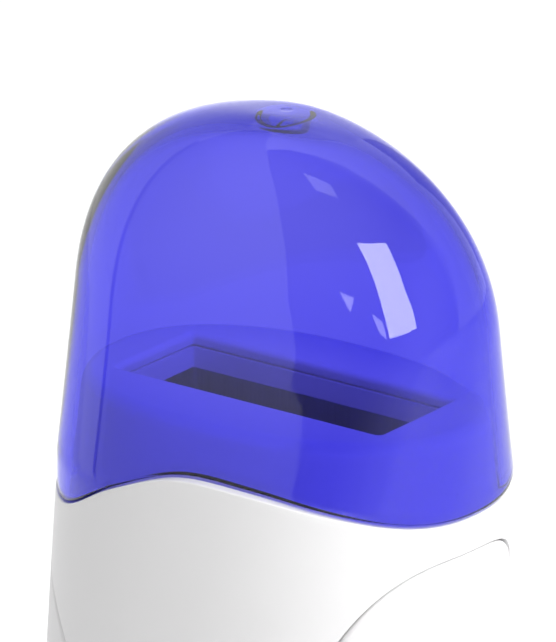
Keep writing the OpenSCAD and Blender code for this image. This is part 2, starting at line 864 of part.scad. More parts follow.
// A strap over each pack, with a leg and a foot on both sides
module heater_clamps() {
    side = heater_w / 2 + 0.5;
    color([0.7, 0.7, 0.72]) {
        for (z = heater_places()) {
            translate([mid_x, mid_y + chamber_out_d / 2, z + (heater_h - clamp_h) / 2]) difference() {
                union() {
                    translate([-side - clamp_t, 0.05, 0]) {
                        cube([2 * side + 2 * clamp_t, heater_t + 0.05 + clamp_t, clamp_h]);
                    }
                    translate([-clamp_reach, 0.05, 0]) cube([2 * clamp_reach, clamp_t, clamp_h]);
                }
                translate([-side, -past, -past]) {
                    cube([2 * side, heater_t + past + 0.05, clamp_h + 2 * past]);
                }
                for (s = [-1, 1]) translate([s * rivet_x, -past, clamp_h / 2]) {
                    rod_y(rivet_r + 0.05, clamp_t + 2 * past);
                }
            }
        }
    }
}

module clamp_rivets() {
    color("silver") {
        for (z = heater_places(), s = [-1, 1]) {
            translate([mid_x + s * rivet_x, mid_y + chamber_out_d / 2, z + heater_h / 2]) {
                translate([0, -chamber_wall + 0.2, 0]) rod_y(rivet_r, chamber_wall + clamp_t);
                translate([0, clamp_t + 0.1, 0]) rotate([-90, 0, 0]) cylinder(r1 = 1.8, r2 = 1.2, h = 0.7);
            }
        }
    }
}

module insulation_sheet() {
    low = heater_places()[0] - 4;
    high = heater_places()[1] + heater_h + 4;
    color([0.85, 0.8, 0.65]) {
        translate([mid_x - heater_w / 2, mid_y + chamber_out_d / 2 + heater_t + 0.95, low]) {
            cube([heater_w, sheet_t, high - low]);
        }
    }
}

// Heights of the thermostat and the fuse, which lie on the chamber's short sides
function sensor_z() = floor_z + 0.48 * (chamber_top - floor_z);

module thermostat() {
    color([0.2, 0.2, 0.22]) {
        translate([mid_x + chamber_out_w / 2, mid_y - thermostat_w / 2, sensor_z()]) {
            cube([thermostat_t, thermostat_w, thermostat_h]);
            for (s = [-1, 1]) {
                y = thermostat_w / 2 + s * tag_space - tag_t / 2;
                translate([thermostat_t / 2 - tag_t, y, -tag_h]) {
                    cube([tag_t, tag_t, tag_h + 0.1]);
                }
            }
        }
    }
}

module thermal_fuse() {
    x = mid_x - chamber_out_w / 2 - fuse_r;
    color([0.75, 0.7, 0.6]) {
        translate([x, mid_y, sensor_z()]) {
            cylinder(r = fuse_r, h = fuse_h);
            translate([0, 0, -fuse_wire]) cylinder(r = fuse_r / 4, h = fuse_h + 2 * fuse_wire);
        }
    }
}

module inlet_housing() {
    face = rear_y(0, inlet_z);
    color([0.13, 0.13, 0.14]) {
        translate([0, face - inlet_deep, inlet_z]) difference() {
            round_bar(inlet_w, inlet_h, inlet_deep, inlet_round);
            translate([0, inlet_deep - cavity_deep, 0]) {
                for (s = [-1, 1]) translate([s * 3, 0, 0]) rod_y(cavity_r, cavity_deep + past);
                translate([-3, 0, -cavity_r * 0.8]) cube([6, cavity_deep + past, cavity_r * 1.6]);
            }
            for (s = [-1, 1]) translate([s * pin_spacing / 2, -past, 0]) {
                rod_y(pin_r + 0.02, inlet_deep + past);
            }
        }
        translate([-inlet_w / 2 + 2, face - inlet_deep, base_top]) {
            cube([inlet_w - 4, 8, inlet_z - inlet_h / 2 - base_top + 0.5]);
        }
    }
}

function pin_back() = rear_y(0, inlet_z) - inlet_deep - 3;

module inlet_pins() {
    tip = rear_y(0, inlet_z) - cavity_deep + pin_length;
    color("silver") {
        for (s = [-1, 1]) translate([s * pin_spacing / 2, pin_back(), inlet_z]) {
            rod_y(pin_r, tip - pin_back() - pin_r);
            translate([0, tip - pin_back() - pin_r, 0]) sphere(r = pin_r);
        }
    }
}

// Near corner of the terminal block on the base plate
block_w = 9;
block_d = 14;
block_h = 9;
block = [-foot_w / 2 + body_wall + 5.7, boss_places()[2][1] + boss_r() + 5.1, 0];

module terminal_block() {
    color("ivory") {
        translate([block[0], block[1], base_top + 0.05]) difference() {
            cube([block_w, block_d, block_h]);
            for (y = [2.5, 7, 11.5]) {
                translate([-past, y, 5]) rotate([0, 90, 0]) cylinder(r = 1.3, h = block_w + 2 * past);
                translate([block_w / 2, y, block_h - 2.5]) cylinder(r = 1.4, h = 4);
            }
            for (x = [2.5, 6.5]) translate([x, -past, 5]) rod_y(1.2, 1 + past);
        }
    }
}

lead_r = 0.9;

module mains_leads() {
    y0 = pin_back() - 0.4;
    x1 = block[0] + block_w + 0.1;
    z1 = base_top + 5.05;
    color([0.35, 0.2, 0.1]) {
        lead([
            [-pin_spacing / 2, y0, inlet_z], [-pin_spacing / 2 - 0.6, y0 - 3, inlet_z - 0.6],
            [-9, y0 - 4.5, 12], [x1 + 11, block[1] + 10.5, z1 + 1], [x1 + 5.5, block[1] + 10.2, z1 + 0.4],
            [x1, block[1] + 11.5, z1]
        ], lead_r, [0, 0, 1]);
    }
    color([0.15, 0.3, 0.7]) {
        lead([
            [pin_spacing / 2, y0, inlet_z], [pin_spacing / 2 - 0.6, y0 - 3, inlet_z - 1.5],
            [-3, y0 - 8, 10], [x1 + 13, block[1] + 7.2, z1 + 0.5], [x1 + 5.5, block[1] + 6.8, z1],
            [x1, block[1] + 7, z1]
        ], lead_r, [0, 0, 1]);
    }
}

module switch_leads() {
    x0 = front_line_x - board_w / 2;
    boss = boss_places()[2];
    color([0.7, 0.1, 0.1]) {
        for (i = [0, 1]) {
            z = board_z + 8 + 5 * i;
            x = block[0] + 6.5 - 4 * i;
            lead([
                [x0 + 2, board_y - 0.1, z], [x0 + 1, board_y - 2.5, z],
                [x0 - 3 - 2 * i, board_y - 1.5, z - 1], [boss[0] + 8 - i, boss[1] + 1.9 + 3 * i, z - 4],
                [x + 1.5, block[1] - 3.6, base_top + 10.5 + i],
                [x, block[1] - 2.2, base_top + 5.3], [x, block[1] + 0.6, base_top + 5.05]
            ], lead_r * 0.7, [0, 0, 1]);
        }
    }
}

module heater_leads() {
    y = mid_y + chamber_out_d / 2 + heater_t / 2;
    x = mid_x - heater_w / 2 - 0.7;
    x1 = block[0] + block_w / 2;
    z1 = base_top + block_h + 0.1;
    color("white") {
        for (i = [0, 1]) {
            z = heater_places()[i] + 17 * i + 4.5;
            y1 = block[1] + 11.5 - 4.5 * i;
            lead([
                [x, y, z], [x - 3, y, z - 1],
                [x - 5 - 3 * i, y + 0.5, heater_places()[0] - 3],
                [x - 5.5 - 3 * i, y - 1, floor_z - 8],
                [x1 + 2 * i, y1 + 1.5, z1 + 8 + 4 * i], [x1, y1, z1 + 3], [x1, y1, z1]
            ], lead_r * 0.8, [0, 1, 0]);
        }
    }
}

module sensor_leads() {
    left = mid_x - chamber_out_w / 2 - 2;
    right = mid_x + chamber_out_w / 2 + 1.7;
    x1 = block[0] + block_w / 2;
    z1 = base_top + block_h + 0.1;
    color("white") {
        lead([
            [left, mid_y, sensor_z() - 4.1], [left - 0.2, mid_y, sensor_z() - 9],
            [left - 2, mid_y - 2, floor_z + 8], [left - 3, mid_y - 4, floor_z - 6],
            [x1, block[1] + 2.5, z1 + 6], [x1, block[1] + 2.5, z1]
        ], lead_r * 0.8, [0, 1, 0]);
        lead([
            [right, mid_y - 1.4, sensor_z() - 2.6], [right + 0.3, mid_y - 1.4, sensor_z() - 8],
            [right + 1.5, mid_y - 3, floor_z + 8], [right + 1, mid_y - 6, floor_z - 6],
            [right - 4, mid_y - 13, 24], [front_line_x + board_w / 2 + 1.5, board_y - 2.5, 23],
            [front_line_x + board_w / 2 - 1.5, board_y - 2, 23],
            [front_line_x + board_w / 2 - 2, board_y - 0.1, 23]
        ], lead_r * 0.8, [0, 1, 0]);
    }
}

module base_plate() {
    color([0.9, 0.9, 0.9]) {
        difference() {
            union() {
                translate([0, 0, base_z]) linear_extrude(base_t) {
                    polygon([for (a = ring_angles())
                        let(p = body_point(base_top, a, body_wall + fit_gap)) [p[0], p[1]]]);
                }
                for (x = [-1, 1], y = [-1, 1]) {
                    translate([mid_x + x * post_x, mid_y + y * post_y, base_top - 0.1]) {
                        cylinder(r = post_r, h = floor_z - tray_t - base_top + 0.1 - 0.1);
                    }
                }
                for (s = [-1, 1]) {
                    translate([
                        front_line_x + s * board_screw_x - column_w / 2,
                        board_y + board_t + 0.05, base_top - 0.1
                    ]) {
                        cube([column_w, column_deep, board_top - base_top - 2]);
                    }
                }
            }
            for (p = boss_places()) translate([p[0], p[1], base_z - past]) {
                cylinder(r = screw_r + 0.2, h = base_t + 2 * past);
                cylinder(r = 2 * screw_r + 0.3, h = past + 1.1 * screw_r);
            }
            for (p = pad_places()) translate([p[0], p[1], base_z - past]) {
                cylinder(r = pad_r + 0.1, h = past + pad_t - foot_gap + 0.05);
            }
            for (s = [-1, 1], z = [board_screw_low, board_screw_high]) {
                translate([front_line_x + s * board_screw_x, board_y + board_t - past, z]) {
                    rod_y(board_screw_r, past + column_deep - 0.3);
                }
            }
        }
    }
}

module base_screws() {
    color("silver") {
        for (p = boss_places()) translate([p[0], p[1], base_z]) screw(screw_r, screw_length - 1.5);
    }
}

function pad_places() =
    [for (a = [22, 158, 202, 338])
        let(p = body_point(base_top, a, body_wall + pad_r + 1.5))
        [p[0] * 0.82, p[1] * 0.82]];

module rubber_feet() {
    color([0.2, 0.2, 0.2]) {
        for (p = pad_places()) translate([p[0], p[1], 0]) {
            cylinder(r = pad_r, h = pad_t);
        }
    }
}

cap();
top_deck();
body_shell();
side_panel_right();
side_panel_left();
window_lens();
window_tunnel();
indicator_lens();
power_button();
switch_plunger();
push_switch();
indicator_lamp();
control_board();
board_screws();
chamber_collar();
collar_screws();
heating_chamber();
cartridge_springs();
chamber_floor();
heater_packs();
heater_clamps();
clamp_rivets();
insulation_sheet();
thermostat();
thermal_fuse();
inlet_housing();
inlet_pins();
terminal_block();
mains_leads();
switch_leads();
heater_leads();
sensor_leads();
base_plate();
base_screws();
rubber_feet();
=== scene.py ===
"""Roll-on wax heater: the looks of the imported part, laid out as an add-on and run as a script."""

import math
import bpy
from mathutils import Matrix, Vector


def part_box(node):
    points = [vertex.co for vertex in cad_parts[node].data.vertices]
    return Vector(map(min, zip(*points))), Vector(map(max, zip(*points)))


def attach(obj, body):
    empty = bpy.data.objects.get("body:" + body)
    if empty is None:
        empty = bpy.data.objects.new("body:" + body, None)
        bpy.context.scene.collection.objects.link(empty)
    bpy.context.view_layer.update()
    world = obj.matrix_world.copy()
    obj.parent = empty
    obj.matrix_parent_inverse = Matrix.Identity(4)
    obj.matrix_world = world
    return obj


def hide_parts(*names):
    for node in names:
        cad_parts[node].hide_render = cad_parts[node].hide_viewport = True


bl_info = {
    "name": "Roll-on Wax Heater",
    "version": (1, 0, 0),
    "blender": (4, 5, 0),
    "location": "3D View > Sidebar > Wax Heater",
    "description": "Smooth shells, clear cap, panels, controls and finishes for a roll-on wax heater",
    "category": "Add Mesh",
}

import bpy
import numpy as np
from bpy.props import FloatProperty, FloatVectorProperty, PointerProperty
from bpy.types import Operator, Panel, PropertyGroup
from mathutils import Matrix, Vector

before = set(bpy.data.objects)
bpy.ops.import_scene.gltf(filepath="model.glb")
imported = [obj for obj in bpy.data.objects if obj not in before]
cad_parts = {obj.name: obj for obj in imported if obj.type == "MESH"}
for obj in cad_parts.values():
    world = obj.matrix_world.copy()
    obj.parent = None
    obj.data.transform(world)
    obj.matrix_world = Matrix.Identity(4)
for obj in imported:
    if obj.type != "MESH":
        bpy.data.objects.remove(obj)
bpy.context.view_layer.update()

MM = 0.001


def cad_size(node):
    """Width, depth and height of a node of the frame, in millimetres."""
    low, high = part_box(node)
    return tuple(float(b - a) / MM for a, b in zip(low, high))


def cad_middle(node):
    """Middle of a node's box, in millimetres."""
    low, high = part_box(node)
    return tuple(float(a + b) * 0.5 / MM for a, b in zip(low, high))


# ---------------------------------------------------------------------------
# Sizes and colours
# ---------------------------------------------------------------------------


def length(name, description, millimetres):
    """A length property, stored in metres."""
    return FloatProperty(
        name=name,
        description=description,
        default=millimetres * MM,
        min=0.0,
        precision=5,
        unit="LENGTH",
    )


def tint(name, description, value):
    """A colour property in linear light."""
    return FloatVectorProperty(
        name=name,
        description=description,
        default=value,
        size=3,
        min=0.0,
        max=1.0,
        subtype="COLOR",
    )


class WaxHeaterSizes(PropertyGroup):
    """Sizes of the shells and controls, equal to those of the part's source."""

    total_height: length("Total height", "Table to the top of the dome", 180.0)
    dome_height: length("Dome height", "Shoulder to the top of the dome", 58.5)
    cap_width: length("Cap width", "Width of the cap at the shoulder", 76.0)
    cap_depth: length("Cap depth", "Depth of the cap at the shoulder", 61.0)
    cap_wall: length("Cap wall", "Wall of the cap", 2.0)
    gate_radius: length("Gate pad radius", "Radius of the round pad inside the dome's top", 4.4)
    gate_height: length("Gate pad height", "How far the pad stands down from the dome's inner top", 0.8)
    shoulder_width: length("Shoulder width", "Width of the body at the shoulder", 75.6)
    shoulder_depth: length("Shoulder depth", "Depth of the body at the shoulder", 60.6)
    foot_width: length("Foot width", "Width of the foot", 83.0)
    foot_depth: length("Foot depth", "Depth of the foot", 65.0)
    foot_gap: length("Foot gap", "Height of the body's lower edge above the table", 1.2)
    foot_round: length("Foot rounding", "Radius of the foot's outer edge", 2.0)
    lean_right: length("Lean to the right", "Shoulder's middle to the right of the foot's", 2.0)
    lean_back: length("Lean backwards", "Shoulder's middle behind the foot's", 1.5)
    rim_gap: length("Rim gap", "Gap between the cap and the body", 0.3)
    deck_rise: length("Deck rise", "Height of the deck above the shoulder", 12.7)
    deck_round: length("Deck rounding", "Radius of the deck's outer edge", 2.0)
    deck_wall: length("Deck thickness", "Thickness of the deck", 2.2)
    slot_width: length("Slot width", "Width of the cartridge slot", 52.0)
    slot_depth: length("Slot depth", "Depth of the cartridge slot", 20.5)
    slot_corner: length("Slot corner", "Radius of the slot's corners", 0.4)
    slot_edge: length("Slot edge", "Rounding of the slot's upper edge", 1.1)
    groove: length("Panel groove", "Width of the groove round the side panels", 0.3)
    button_radius: length("Button radius", "Radius of the front button", 6.5)
    lamp_radius: length("Lamp radius", "Radius of the lamp's lens", 2.0)
    window_width: length("Window width", "Width of the level window", 8.0)
    window_height: length("Window height", "Length of the level window", 42.0)


class WaxHeaterColours(PropertyGroup):
    """Colours of the finishes, in linear light."""

    cap: tint("Cap", "What one wall of the cap lets through", (0.275, 0.26, 0.90))
    shell: tint("Body", "White of the body", (0.745, 0.74, 0.745))
    panel: tint("Side panels", "White of the side panels", (0.735, 0.73, 0.735))
    deck: tint("Deck", "White of the deck and neck", (0.88, 0.86, 0.81))
    button: tint("Button", "Violet of the button", (0.07, 0.05, 0.33))
    lamp: tint("Lamp", "Amber of the lamp's lens", (0.85, 0.28, 0.03))
    floor: tint("Floor", "Pale floor", (0.55, 0.55, 0.55))


def sizes():
    """The scene's sizes."""
    return bpy.context.scene.wax_heater_sizes


def colours():
    """The scene's colours."""
    return bpy.context.scene.wax_heater_colours


# ---------------------------------------------------------------------------
# Shapes, in millimetres, as whole arrays
# ---------------------------------------------------------------------------

# Power of the plan's oval, at the shoulder and at the dome's top
PLAN_POWER = 2.25
PLAN_POWER_TOP = 2.08
# The dome: share of its height where the front outline starts to curve in, powers of its outlines,
# share of the depth lost up to the top, and a slight swelling of the width
DOME_STRAIGHT = 0.45
DOME_POWER_FRONT = 2.17
DOME_POWER_SIDE = 4.63
DOME_TAPER = 0.654
DOME_BULGE = 0.008
# Power with which the body's middle leans
LEAN_POWER = 2.25
# Wavy edge: share of the cap's half width, and height above the shoulder
WAVE = np.array(
    [[-1, -5.4], [-0.7, -6.5], [-0.35, 0.4], [0, 5.2], [0.35, 5.1], [0.7, 2.5], [1, -1.1]]
)
# Side panels: power of their outline, then half depth, top, lower end and middle in y
PANEL_POWER = 3.2
PANELS = {
    "right": (24.0, 114.2, 18.0, -2.0),
    "left": (28.5, 105.0, 18.0, 0.0),
}


class Form:
    """The heater's sizes in millimetres, read once from the scene's properties."""

    def __init__(self):
        for name in WaxHeaterSizes.__annotations__:
            setattr(self, name, getattr(sizes(), name) / MM)
        self.lean = np.array([self.lean_right, self.lean_back])
        self.shoulder = self.total_height - self.dome_height
        self.deck = self.shoulder + self.deck_rise


def signed_power(value, power):
    """The power of a number's size, with the number's sign."""
    return np.sign(value) * np.abs(value) ** power


def smooth(value):
    """Three times the square less twice the cube, from 0 to 1."""
    v = np.clip(value, 0, 1)
    return v * v * (3 - 2 * v)


def oval(half_width, half_depth, power, angle):
    """Superellipse: each half axis times the cosine or sine to the power two over n."""
    return (
        half_width * signed_power(np.cos(angle), 2 / power),
        half_depth * signed_power(np.sin(angle), 2 / power),
    )


def wave_height(x, form):
    """Cubic through the listed heights, its slope at each the mean across both neighbours."""
    t = np.clip(x / (form.cap_width / 2), -1, 1)
    knots, heights = WAVE[:, 0], WAVE[:, 1]
    slope = np.empty(len(knots))
    slope[1:-1] = (heights[2:] - heights[:-2]) / (knots[2:] - knots[:-2])
    slope[0] = (heights[1] - heights[0]) / (knots[1] - knots[0])
    slope[-1] = (heights[-1] - heights[-2]) / (knots[-1] - knots[-2])
    i = np.clip(np.searchsorted(knots, t, side="right") - 1, 0, len(knots) - 2)
    d = knots[i + 1] - knots[i]
    u = (t - knots[i]) / d
    return form.shoulder + (
        (2 * u**3 - 3 * u**2 + 1) * heights[i]
        + (u**3 - 2 * u**2 + u) * slope[i] * d
        + (3 * u**2 - 2 * u**3) * heights[i + 1]
        + (u**3 - u**2) * slope[i + 1] * d
    )


def edge_height(angle, form):
    """Height of the wavy edge round the cap: the wave at the place across of the plan."""
    return wave_height(oval(form.cap_width / 2, 0, PLAN_POWER, angle)[0], form)


def dome_radii(q, form, inset=0.0):
    """Half width, half depth and plan power of the dome at a share q of its height.

    The half width stays straight up to a share of the height and then follows a superellipse.
    The half depth shrinks in a straight line and is closed by a steep superellipse.
    """
    u = np.clip((q - DOME_STRAIGHT) / (1 - DOME_STRAIGHT), 0, 1)
    half_w = (form.cap_width / 2 - inset) * (1 - u**DOME_POWER_FRONT) ** (1 / DOME_POWER_FRONT)
    half_w = half_w * (1 + DOME_BULGE * 4 * q * (1 - q))
    half_d = (
        (form.cap_depth / 2 - inset)
        * (1 - DOME_TAPER * q)
        * (1 - np.clip(q, 0, 1) ** DOME_POWER_SIDE) ** (1 / DOME_POWER_SIDE)
    )
    return half_w, half_d, PLAN_POWER + (PLAN_POWER_TOP - PLAN_POWER) * q


def dome_point(z, angle, form, inset=0.0):
    """A point of the dome: its plan is an oval whose radii follow the height."""
    q = np.clip((z - form.shoulder) / (form.dome_height - inset), 0, 1)
    half_w, half_d, power = dome_radii(q, form, inset)
    x, y = oval(half_w, half_d, power, angle)
    return np.stack([form.lean[0] + x, form.lean[1] + y, z + 0 * x], -1)


def dome_height(x, y, form, inset=0.0):
    """Height of the dome over a place in plan, found by halving: the plan's oval shrinks upwards."""
    low, high = np.full(x.shape, 0.3), np.full(x.shape, 1.0)
    for _ in range(48):
        q = (low + high) / 2
        half_w, half_d, power = dome_radii(q, form, inset)
        outside = (np.abs(x) / np.maximum(half_w, 1e-9)) ** power + (
            np.abs(y) / np.maximum(half_d, 1e-9)
        ) ** power > 1
        high = np.where(outside, q, high)
        low = np.where(outside, low, q)
    return form.shoulder + low * (form.dome_height - inset)


def body_middle(z, form):
    """Middle of the body's plan: the lean times the height's share to a power."""
    up = np.clip(z / form.shoulder, 0, 1)
    return form.lean[0] * up**LEAN_POWER, form.lean[1] * up**LEAN_POWER


def body_radii(z, form):
    """Half width grows in a straight line to the foot, half depth with the cube of the drop."""
    drop = 1 - np.clip(z / form.shoulder, 0, 1)
    return (
        form.shoulder_width / 2 + (form.foot_width - form.shoulder_width) / 2 * drop,
        form.shoulder_depth / 2 + (form.foot_depth - form.shoulder_depth) / 2 * drop**3,
    )


def body_point(z, angle, form, inset=0.0):
    """A point of the body's wall: an oval about the leaning middle line."""
    mx, my = body_middle(z, form)
    half_w, half_d = body_radii(z, form)
    x, y = oval(half_w - inset, half_d - inset, PLAN_POWER, angle)
    return np.stack([mx + x, my + y, z + 0 * x], -1)


def front_face(x, z, form, inset=0.0):
    """The y of the body's front over a place x, z: the oval solved for y."""
    mx, my = body_middle(z, form)
    half_w, half_d = body_radii(z, form)
    share = np.clip(np.abs(x - mx) / (half_w - inset), 0, 1)
    return my - (half_d - inset) * (1 - share**PLAN_POWER) ** (1 / PLAN_POWER)


# ---------------------------------------------------------------------------
# Meshes from grids
# ---------------------------------------------------------------------------


def add_mesh(name, points, faces):
    """A mesh object from points in millimetres and faces, shaded smooth."""
    mesh = bpy.data.meshes.new(name)
    points = np.asarray(points, float) * MM
    counts = np.array([len(f) for f in faces], np.int32)
    starts = np.concatenate([[0], np.cumsum(counts)[:-1]]).astype(np.int32)
    corners = np.concatenate([np.asarray(f, np.int32) for f in faces])
    mesh.vertices.add(len(points))
    mesh.vertices.foreach_set("co", points.ravel())
    mesh.loops.add(len(corners))
    mesh.loops.foreach_set("vertex_index", corners)
    mesh.polygons.add(len(counts))
    mesh.polygons.foreach_set("loop_start", starts)
    mesh.update(calc_edges=True)
    mesh.validate()
    mesh.polygons.foreach_set("use_smooth", np.ones(len(mesh.polygons), bool))
    piece = bpy.data.objects.new(name, mesh)
    bpy.context.scene.collection.objects.link(piece)
    return piece


def grid_faces(rows, cols, wrap_rows=False):
    """Quads of a grid that closes across its columns, and across its rows if asked."""
    r = np.arange(rows if wrap_rows else rows - 1)[:, None]
    c = np.arange(cols)[None, :]
    r2, c2 = (r + 1) % rows, (c + 1) % cols
    quads = np.stack([r * cols + c, r * cols + c2, r2 * cols + c2, r2 * cols + c], -1)
    return quads.reshape(-1, 4)


def ring_piece(name, rings, wrap=False):
    """A closed surface through rings of points: poles at both ends, or wrapped into a tube.

    Rings run from the inside out, so that with angles running anticlockwise the faces point out.
    """
    rings = np.asarray(rings)
    rows, cols = rings.shape[:2]
    points = rings.reshape(-1, 3)
    faces = list(grid_faces(rows, cols, wrap))
    if not wrap:
        c = np.arange(cols)
        c2 = (c + 1) % cols
        first, last = len(points), len(points) + 1
        points = np.concatenate([points, [rings[0].mean(0)], [rings[-1].mean(0)]])
        end = (rows - 1) * cols
        faces += list(np.stack([np.full(cols, first), c2, c], -1))
        faces += list(np.stack([np.full(cols, last), end + c, end + c2], -1))
    return add_mesh(name, points, faces)


def point_outwards(piece):
    """Turns every face if the closed mesh's volume comes out negative."""
    mesh = piece.data
    mesh.calc_loop_triangles()
    co = np.empty(len(mesh.vertices) * 3)
    mesh.vertices.foreach_get("co", co)
    co = co.reshape(-1, 3)
    tri = np.empty(len(mesh.loop_triangles) * 3, np.int32)
    mesh.loop_triangles.foreach_get("vertices", tri)
    a, b, c = (co[tri.reshape(-1, 3)[:, i]] for i in range(3))
    if np.einsum("ij,ij->i", a, np.cross(b, c)).sum() < 0:
        mesh.flip_normals()
    return piece


def finish_piece(piece, body, material, replaced=(), sharp=None):
    """Turns the faces out, keeps sharp edges crisp, and sets material, body, slot and nodes stood for."""
    point_outwards(piece)
    if sharp is not None:
        piece.data.set_sharp_from_angle(angle=math.radians(sharp))
    piece.data.materials.clear()
    piece.data.materials.append(material)
    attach(piece, body)
    if replaced:
        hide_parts(*replaced)
    return piece


def cut_with(piece, cutters):
    """Takes the cutters out of a piece with exact booleans, and removes the cutters."""
    for cutter in cutters:
        step = piece.modifiers.new("Cut", "BOOLEAN")
        step.operation = "DIFFERENCE"
        step.solver = "EXACT"
        step.object = cutter
    graph = bpy.context.evaluated_depsgraph_get()
    done = bpy.data.meshes.new_from_object(piece.evaluated_get(graph), depsgraph=graph)
    old = piece.data
    piece.modifiers.clear()
    piece.data = done
    bpy.data.meshes.remove(old)
    for cutter in cutters:
        bpy.data.objects.remove(cutter)
    piece.data.polygons.foreach_set("use_smooth", np.ones(len(piece.data.polygons), bool))
    return piece


def angles(count):
    """Even angles round a full turn."""
    return np.arange(count) * 2 * math.pi / count


def turned(name, profile, place, count=96):
    """A profile of radius and distance turned about an axis along Y, its zero at the place."""
    a = angles(count)
    profile = np.asarray(profile, float)
    r, d = profile[:, 0][:, None], profile[:, 1][:, None]
    rings = np.stack([place[0] + r * np.cos(a), place[1] + d + 0 * r * a, place[2] + r * np.sin(a)], -1)
    return point_outwards(ring_piece(name, rings))


def rounding(radius, start, count):
    """Steps round a quarter circle: the radius left on one side, and what has gone on the other."""
    turns = np.linspace(start, 1, count) * math.pi / 2
    return [(radius * (1 - math.sin(t)), radius * (1 - math.cos(t))) for t in turns]


# ---------------------------------------------------------------------------
# Material parts
# ---------------------------------------------------------------------------


# Index of refraction of clear and white plastics
PLASTIC_IOR = 1.49
# What a face lets through where the tint lies in the plastic
CLEAR_FACE = (0.97, 0.97, 0.98)


def math_node(tree, operation, *values):
    """A Math node with its inputs linked to outputs or set to numbers."""
    node = tree.nodes.new("ShaderNodeMath")
    node.operation = operation
    for socket, value in zip(node.inputs, values):
        if isinstance(value, (int, float)):
            socket.default_value = value
        else:
            tree.links.new(value, socket)
    return node.outputs[0]


def effect_group(name, inputs):
    """A finish's group with its own inputs, each a name, kind and default, and three outputs."""
    group = bpy.data.node_groups.new(name, "ShaderNodeTree")
    for label, kind, value in inputs:
        socket = group.interface.new_socket(label, in_out="INPUT", socket_type=kind)
        socket.default_value = value
    for label, kind in (("Height", "Float"), ("Roughness", "Float"), ("Colour", "Color")):
        group.interface.new_socket(label, in_out="OUTPUT", socket_type=f"NodeSocket{kind}")
    return group, group.nodes.new("NodeGroupInput"), group.nodes.new("NodeGroupOutput")


def noise_node(tree, vector, scale, detail):
    """A noise's value on a vector; its scale is a number or another node's output."""
    noise = tree.nodes.new("ShaderNodeTexNoise")
    noise.inputs["Detail"].default_value = detail
    if isinstance(scale, (int, float)):
        noise.inputs["Scale"].default_value = scale
    else:
        tree.links.new(scale, noise.inputs["Scale"])
    tree.links.new(vector, noise.inputs["Vector"])
    return noise.outputs["Fac"]


def vary_finish(tree, gin, gout, noise, spread, shade):
    """Roughness and colour follow a noise: its distance from the middle times spread or shade."""
    centred = math_node(tree, "SUBTRACT", noise, 0.5)
    change = math_node(tree, "MULTIPLY", centred, spread)
    tree.links.new(math_node(tree, "ADD", gin.outputs["Roughness"], change), gout.inputs["Roughness"])
    factor = math_node(tree, "ADD", math_node(tree, "MULTIPLY", centred, shade), 1.0)
    scale = tree.nodes.new("ShaderNodeVectorMath")
    scale.operation = "SCALE"
    tree.links.new(gin.outputs["Colour"], scale.inputs[0])
    tree.links.new(factor, scale.inputs["Scale"])
    tree.links.new(scale.outputs[0], gout.inputs["Colour"])


def grain_group():
    """Fine moulded grain: small noise for the height and slow noise for roughness and shade."""
    name = "Moulded grain"
    if name in bpy.data.node_groups:
        return bpy.data.node_groups[name]
    inputs = [
        ("Grain Scale", "NodeSocketFloat", 9000.0),
        ("Roughness", "NodeSocketFloat", 0.35),
        ("Spread", "NodeSocketFloat", 0.05),
        ("Colour", "NodeSocketColor", (0.8, 0.8, 0.8, 1)),
        ("Shade", "NodeSocketFloat", 0.02),
    ]
    tree, gin, gout = effect_group(name, inputs)
    place = tree.nodes.new("ShaderNodeTexCoord").outputs["Object"]
    tree.links.new(noise_node(tree, place, gin.outputs["Grain Scale"], 3), gout.inputs["Height"])
    spread = math_node(tree, "MULTIPLY", gin.outputs["Spread"], 2.0)
    vary_finish(tree, gin, gout, noise_node(tree, place, 60, 4), spread, gin.outputs["Shade"])
    return tree


def streak_group():
    """Rolled or brushed streaks: noise stretched along one axis, for height, roughness and shade."""
    name = "Rolled streaks"
    if name in bpy.data.node_groups:
        return bpy.data.node_groups[name]
    inputs = [
        ("Stretch", "NodeSocketVector", (3000.0, 3000.0, 60.0)),
        ("Roughness", "NodeSocketFloat", 0.35),
        ("Spread", "NodeSocketFloat", 0.15),
        ("Colour", "NodeSocketColor", (0.6, 0.6, 0.6, 1)),
    ]
    tree, gin, gout = effect_group(name, inputs)
    stretch = tree.nodes.new("ShaderNodeVectorMath")
    stretch.operation = "MULTIPLY"
    tree.links.new(tree.nodes.new("ShaderNodeTexCoord").outputs["Object"], stretch.inputs[0])
    tree.links.new(gin.outputs["Stretch"], stretch.inputs[1])
    streaks = noise_node(tree, stretch.outputs[0], 1, 4)
    tree.links.new(streaks, gout.inputs["Height"])
    vary_finish(tree, gin, gout, streaks, gin.outputs["Spread"], 0.25)
    return tree


def new_material(name):
    """A material with nothing but its Principled shader and output."""
    material = bpy.data.materials.new(name)
    material.use_nodes = True
    tree = material.node_tree
    shader = next(n for n in tree.nodes if n.type == "BSDF_PRINCIPLED")
    output = next(n for n in tree.nodes if n.type == "OUTPUT_MATERIAL")
    return material, tree, shader, output


def bump_into(tree, shader, height, distance):
    """A Bump node of that depth in millimetres between a height and the shader's normal."""
    bump = tree.nodes.new("ShaderNodeBump")
    bump.inputs["Strength"].default_value = 1.0
    bump.inputs["Distance"].default_value = distance * MM
    tree.links.new(height, bump.inputs["Height"])
    tree.links.new(bump.outputs[0], shader.inputs["Normal"])


def finish_from(name, group, values, depth):
    """A material whose colour, roughness and bump come from a group with those input values."""
    material, tree, shader, _ = new_material(name)
    node = tree.nodes.new("ShaderNodeGroup")
    node.node_tree = group
    for label, value in values.items():
        node.inputs[label].default_value = value
    tree.links.new(node.outputs["Colour"], shader.inputs["Base Color"])
    tree.links.new(node.outputs["Roughness"], shader.inputs["Roughness"])
    bump_into(tree, shader, node.outputs["Height"], depth)
    return material, shader


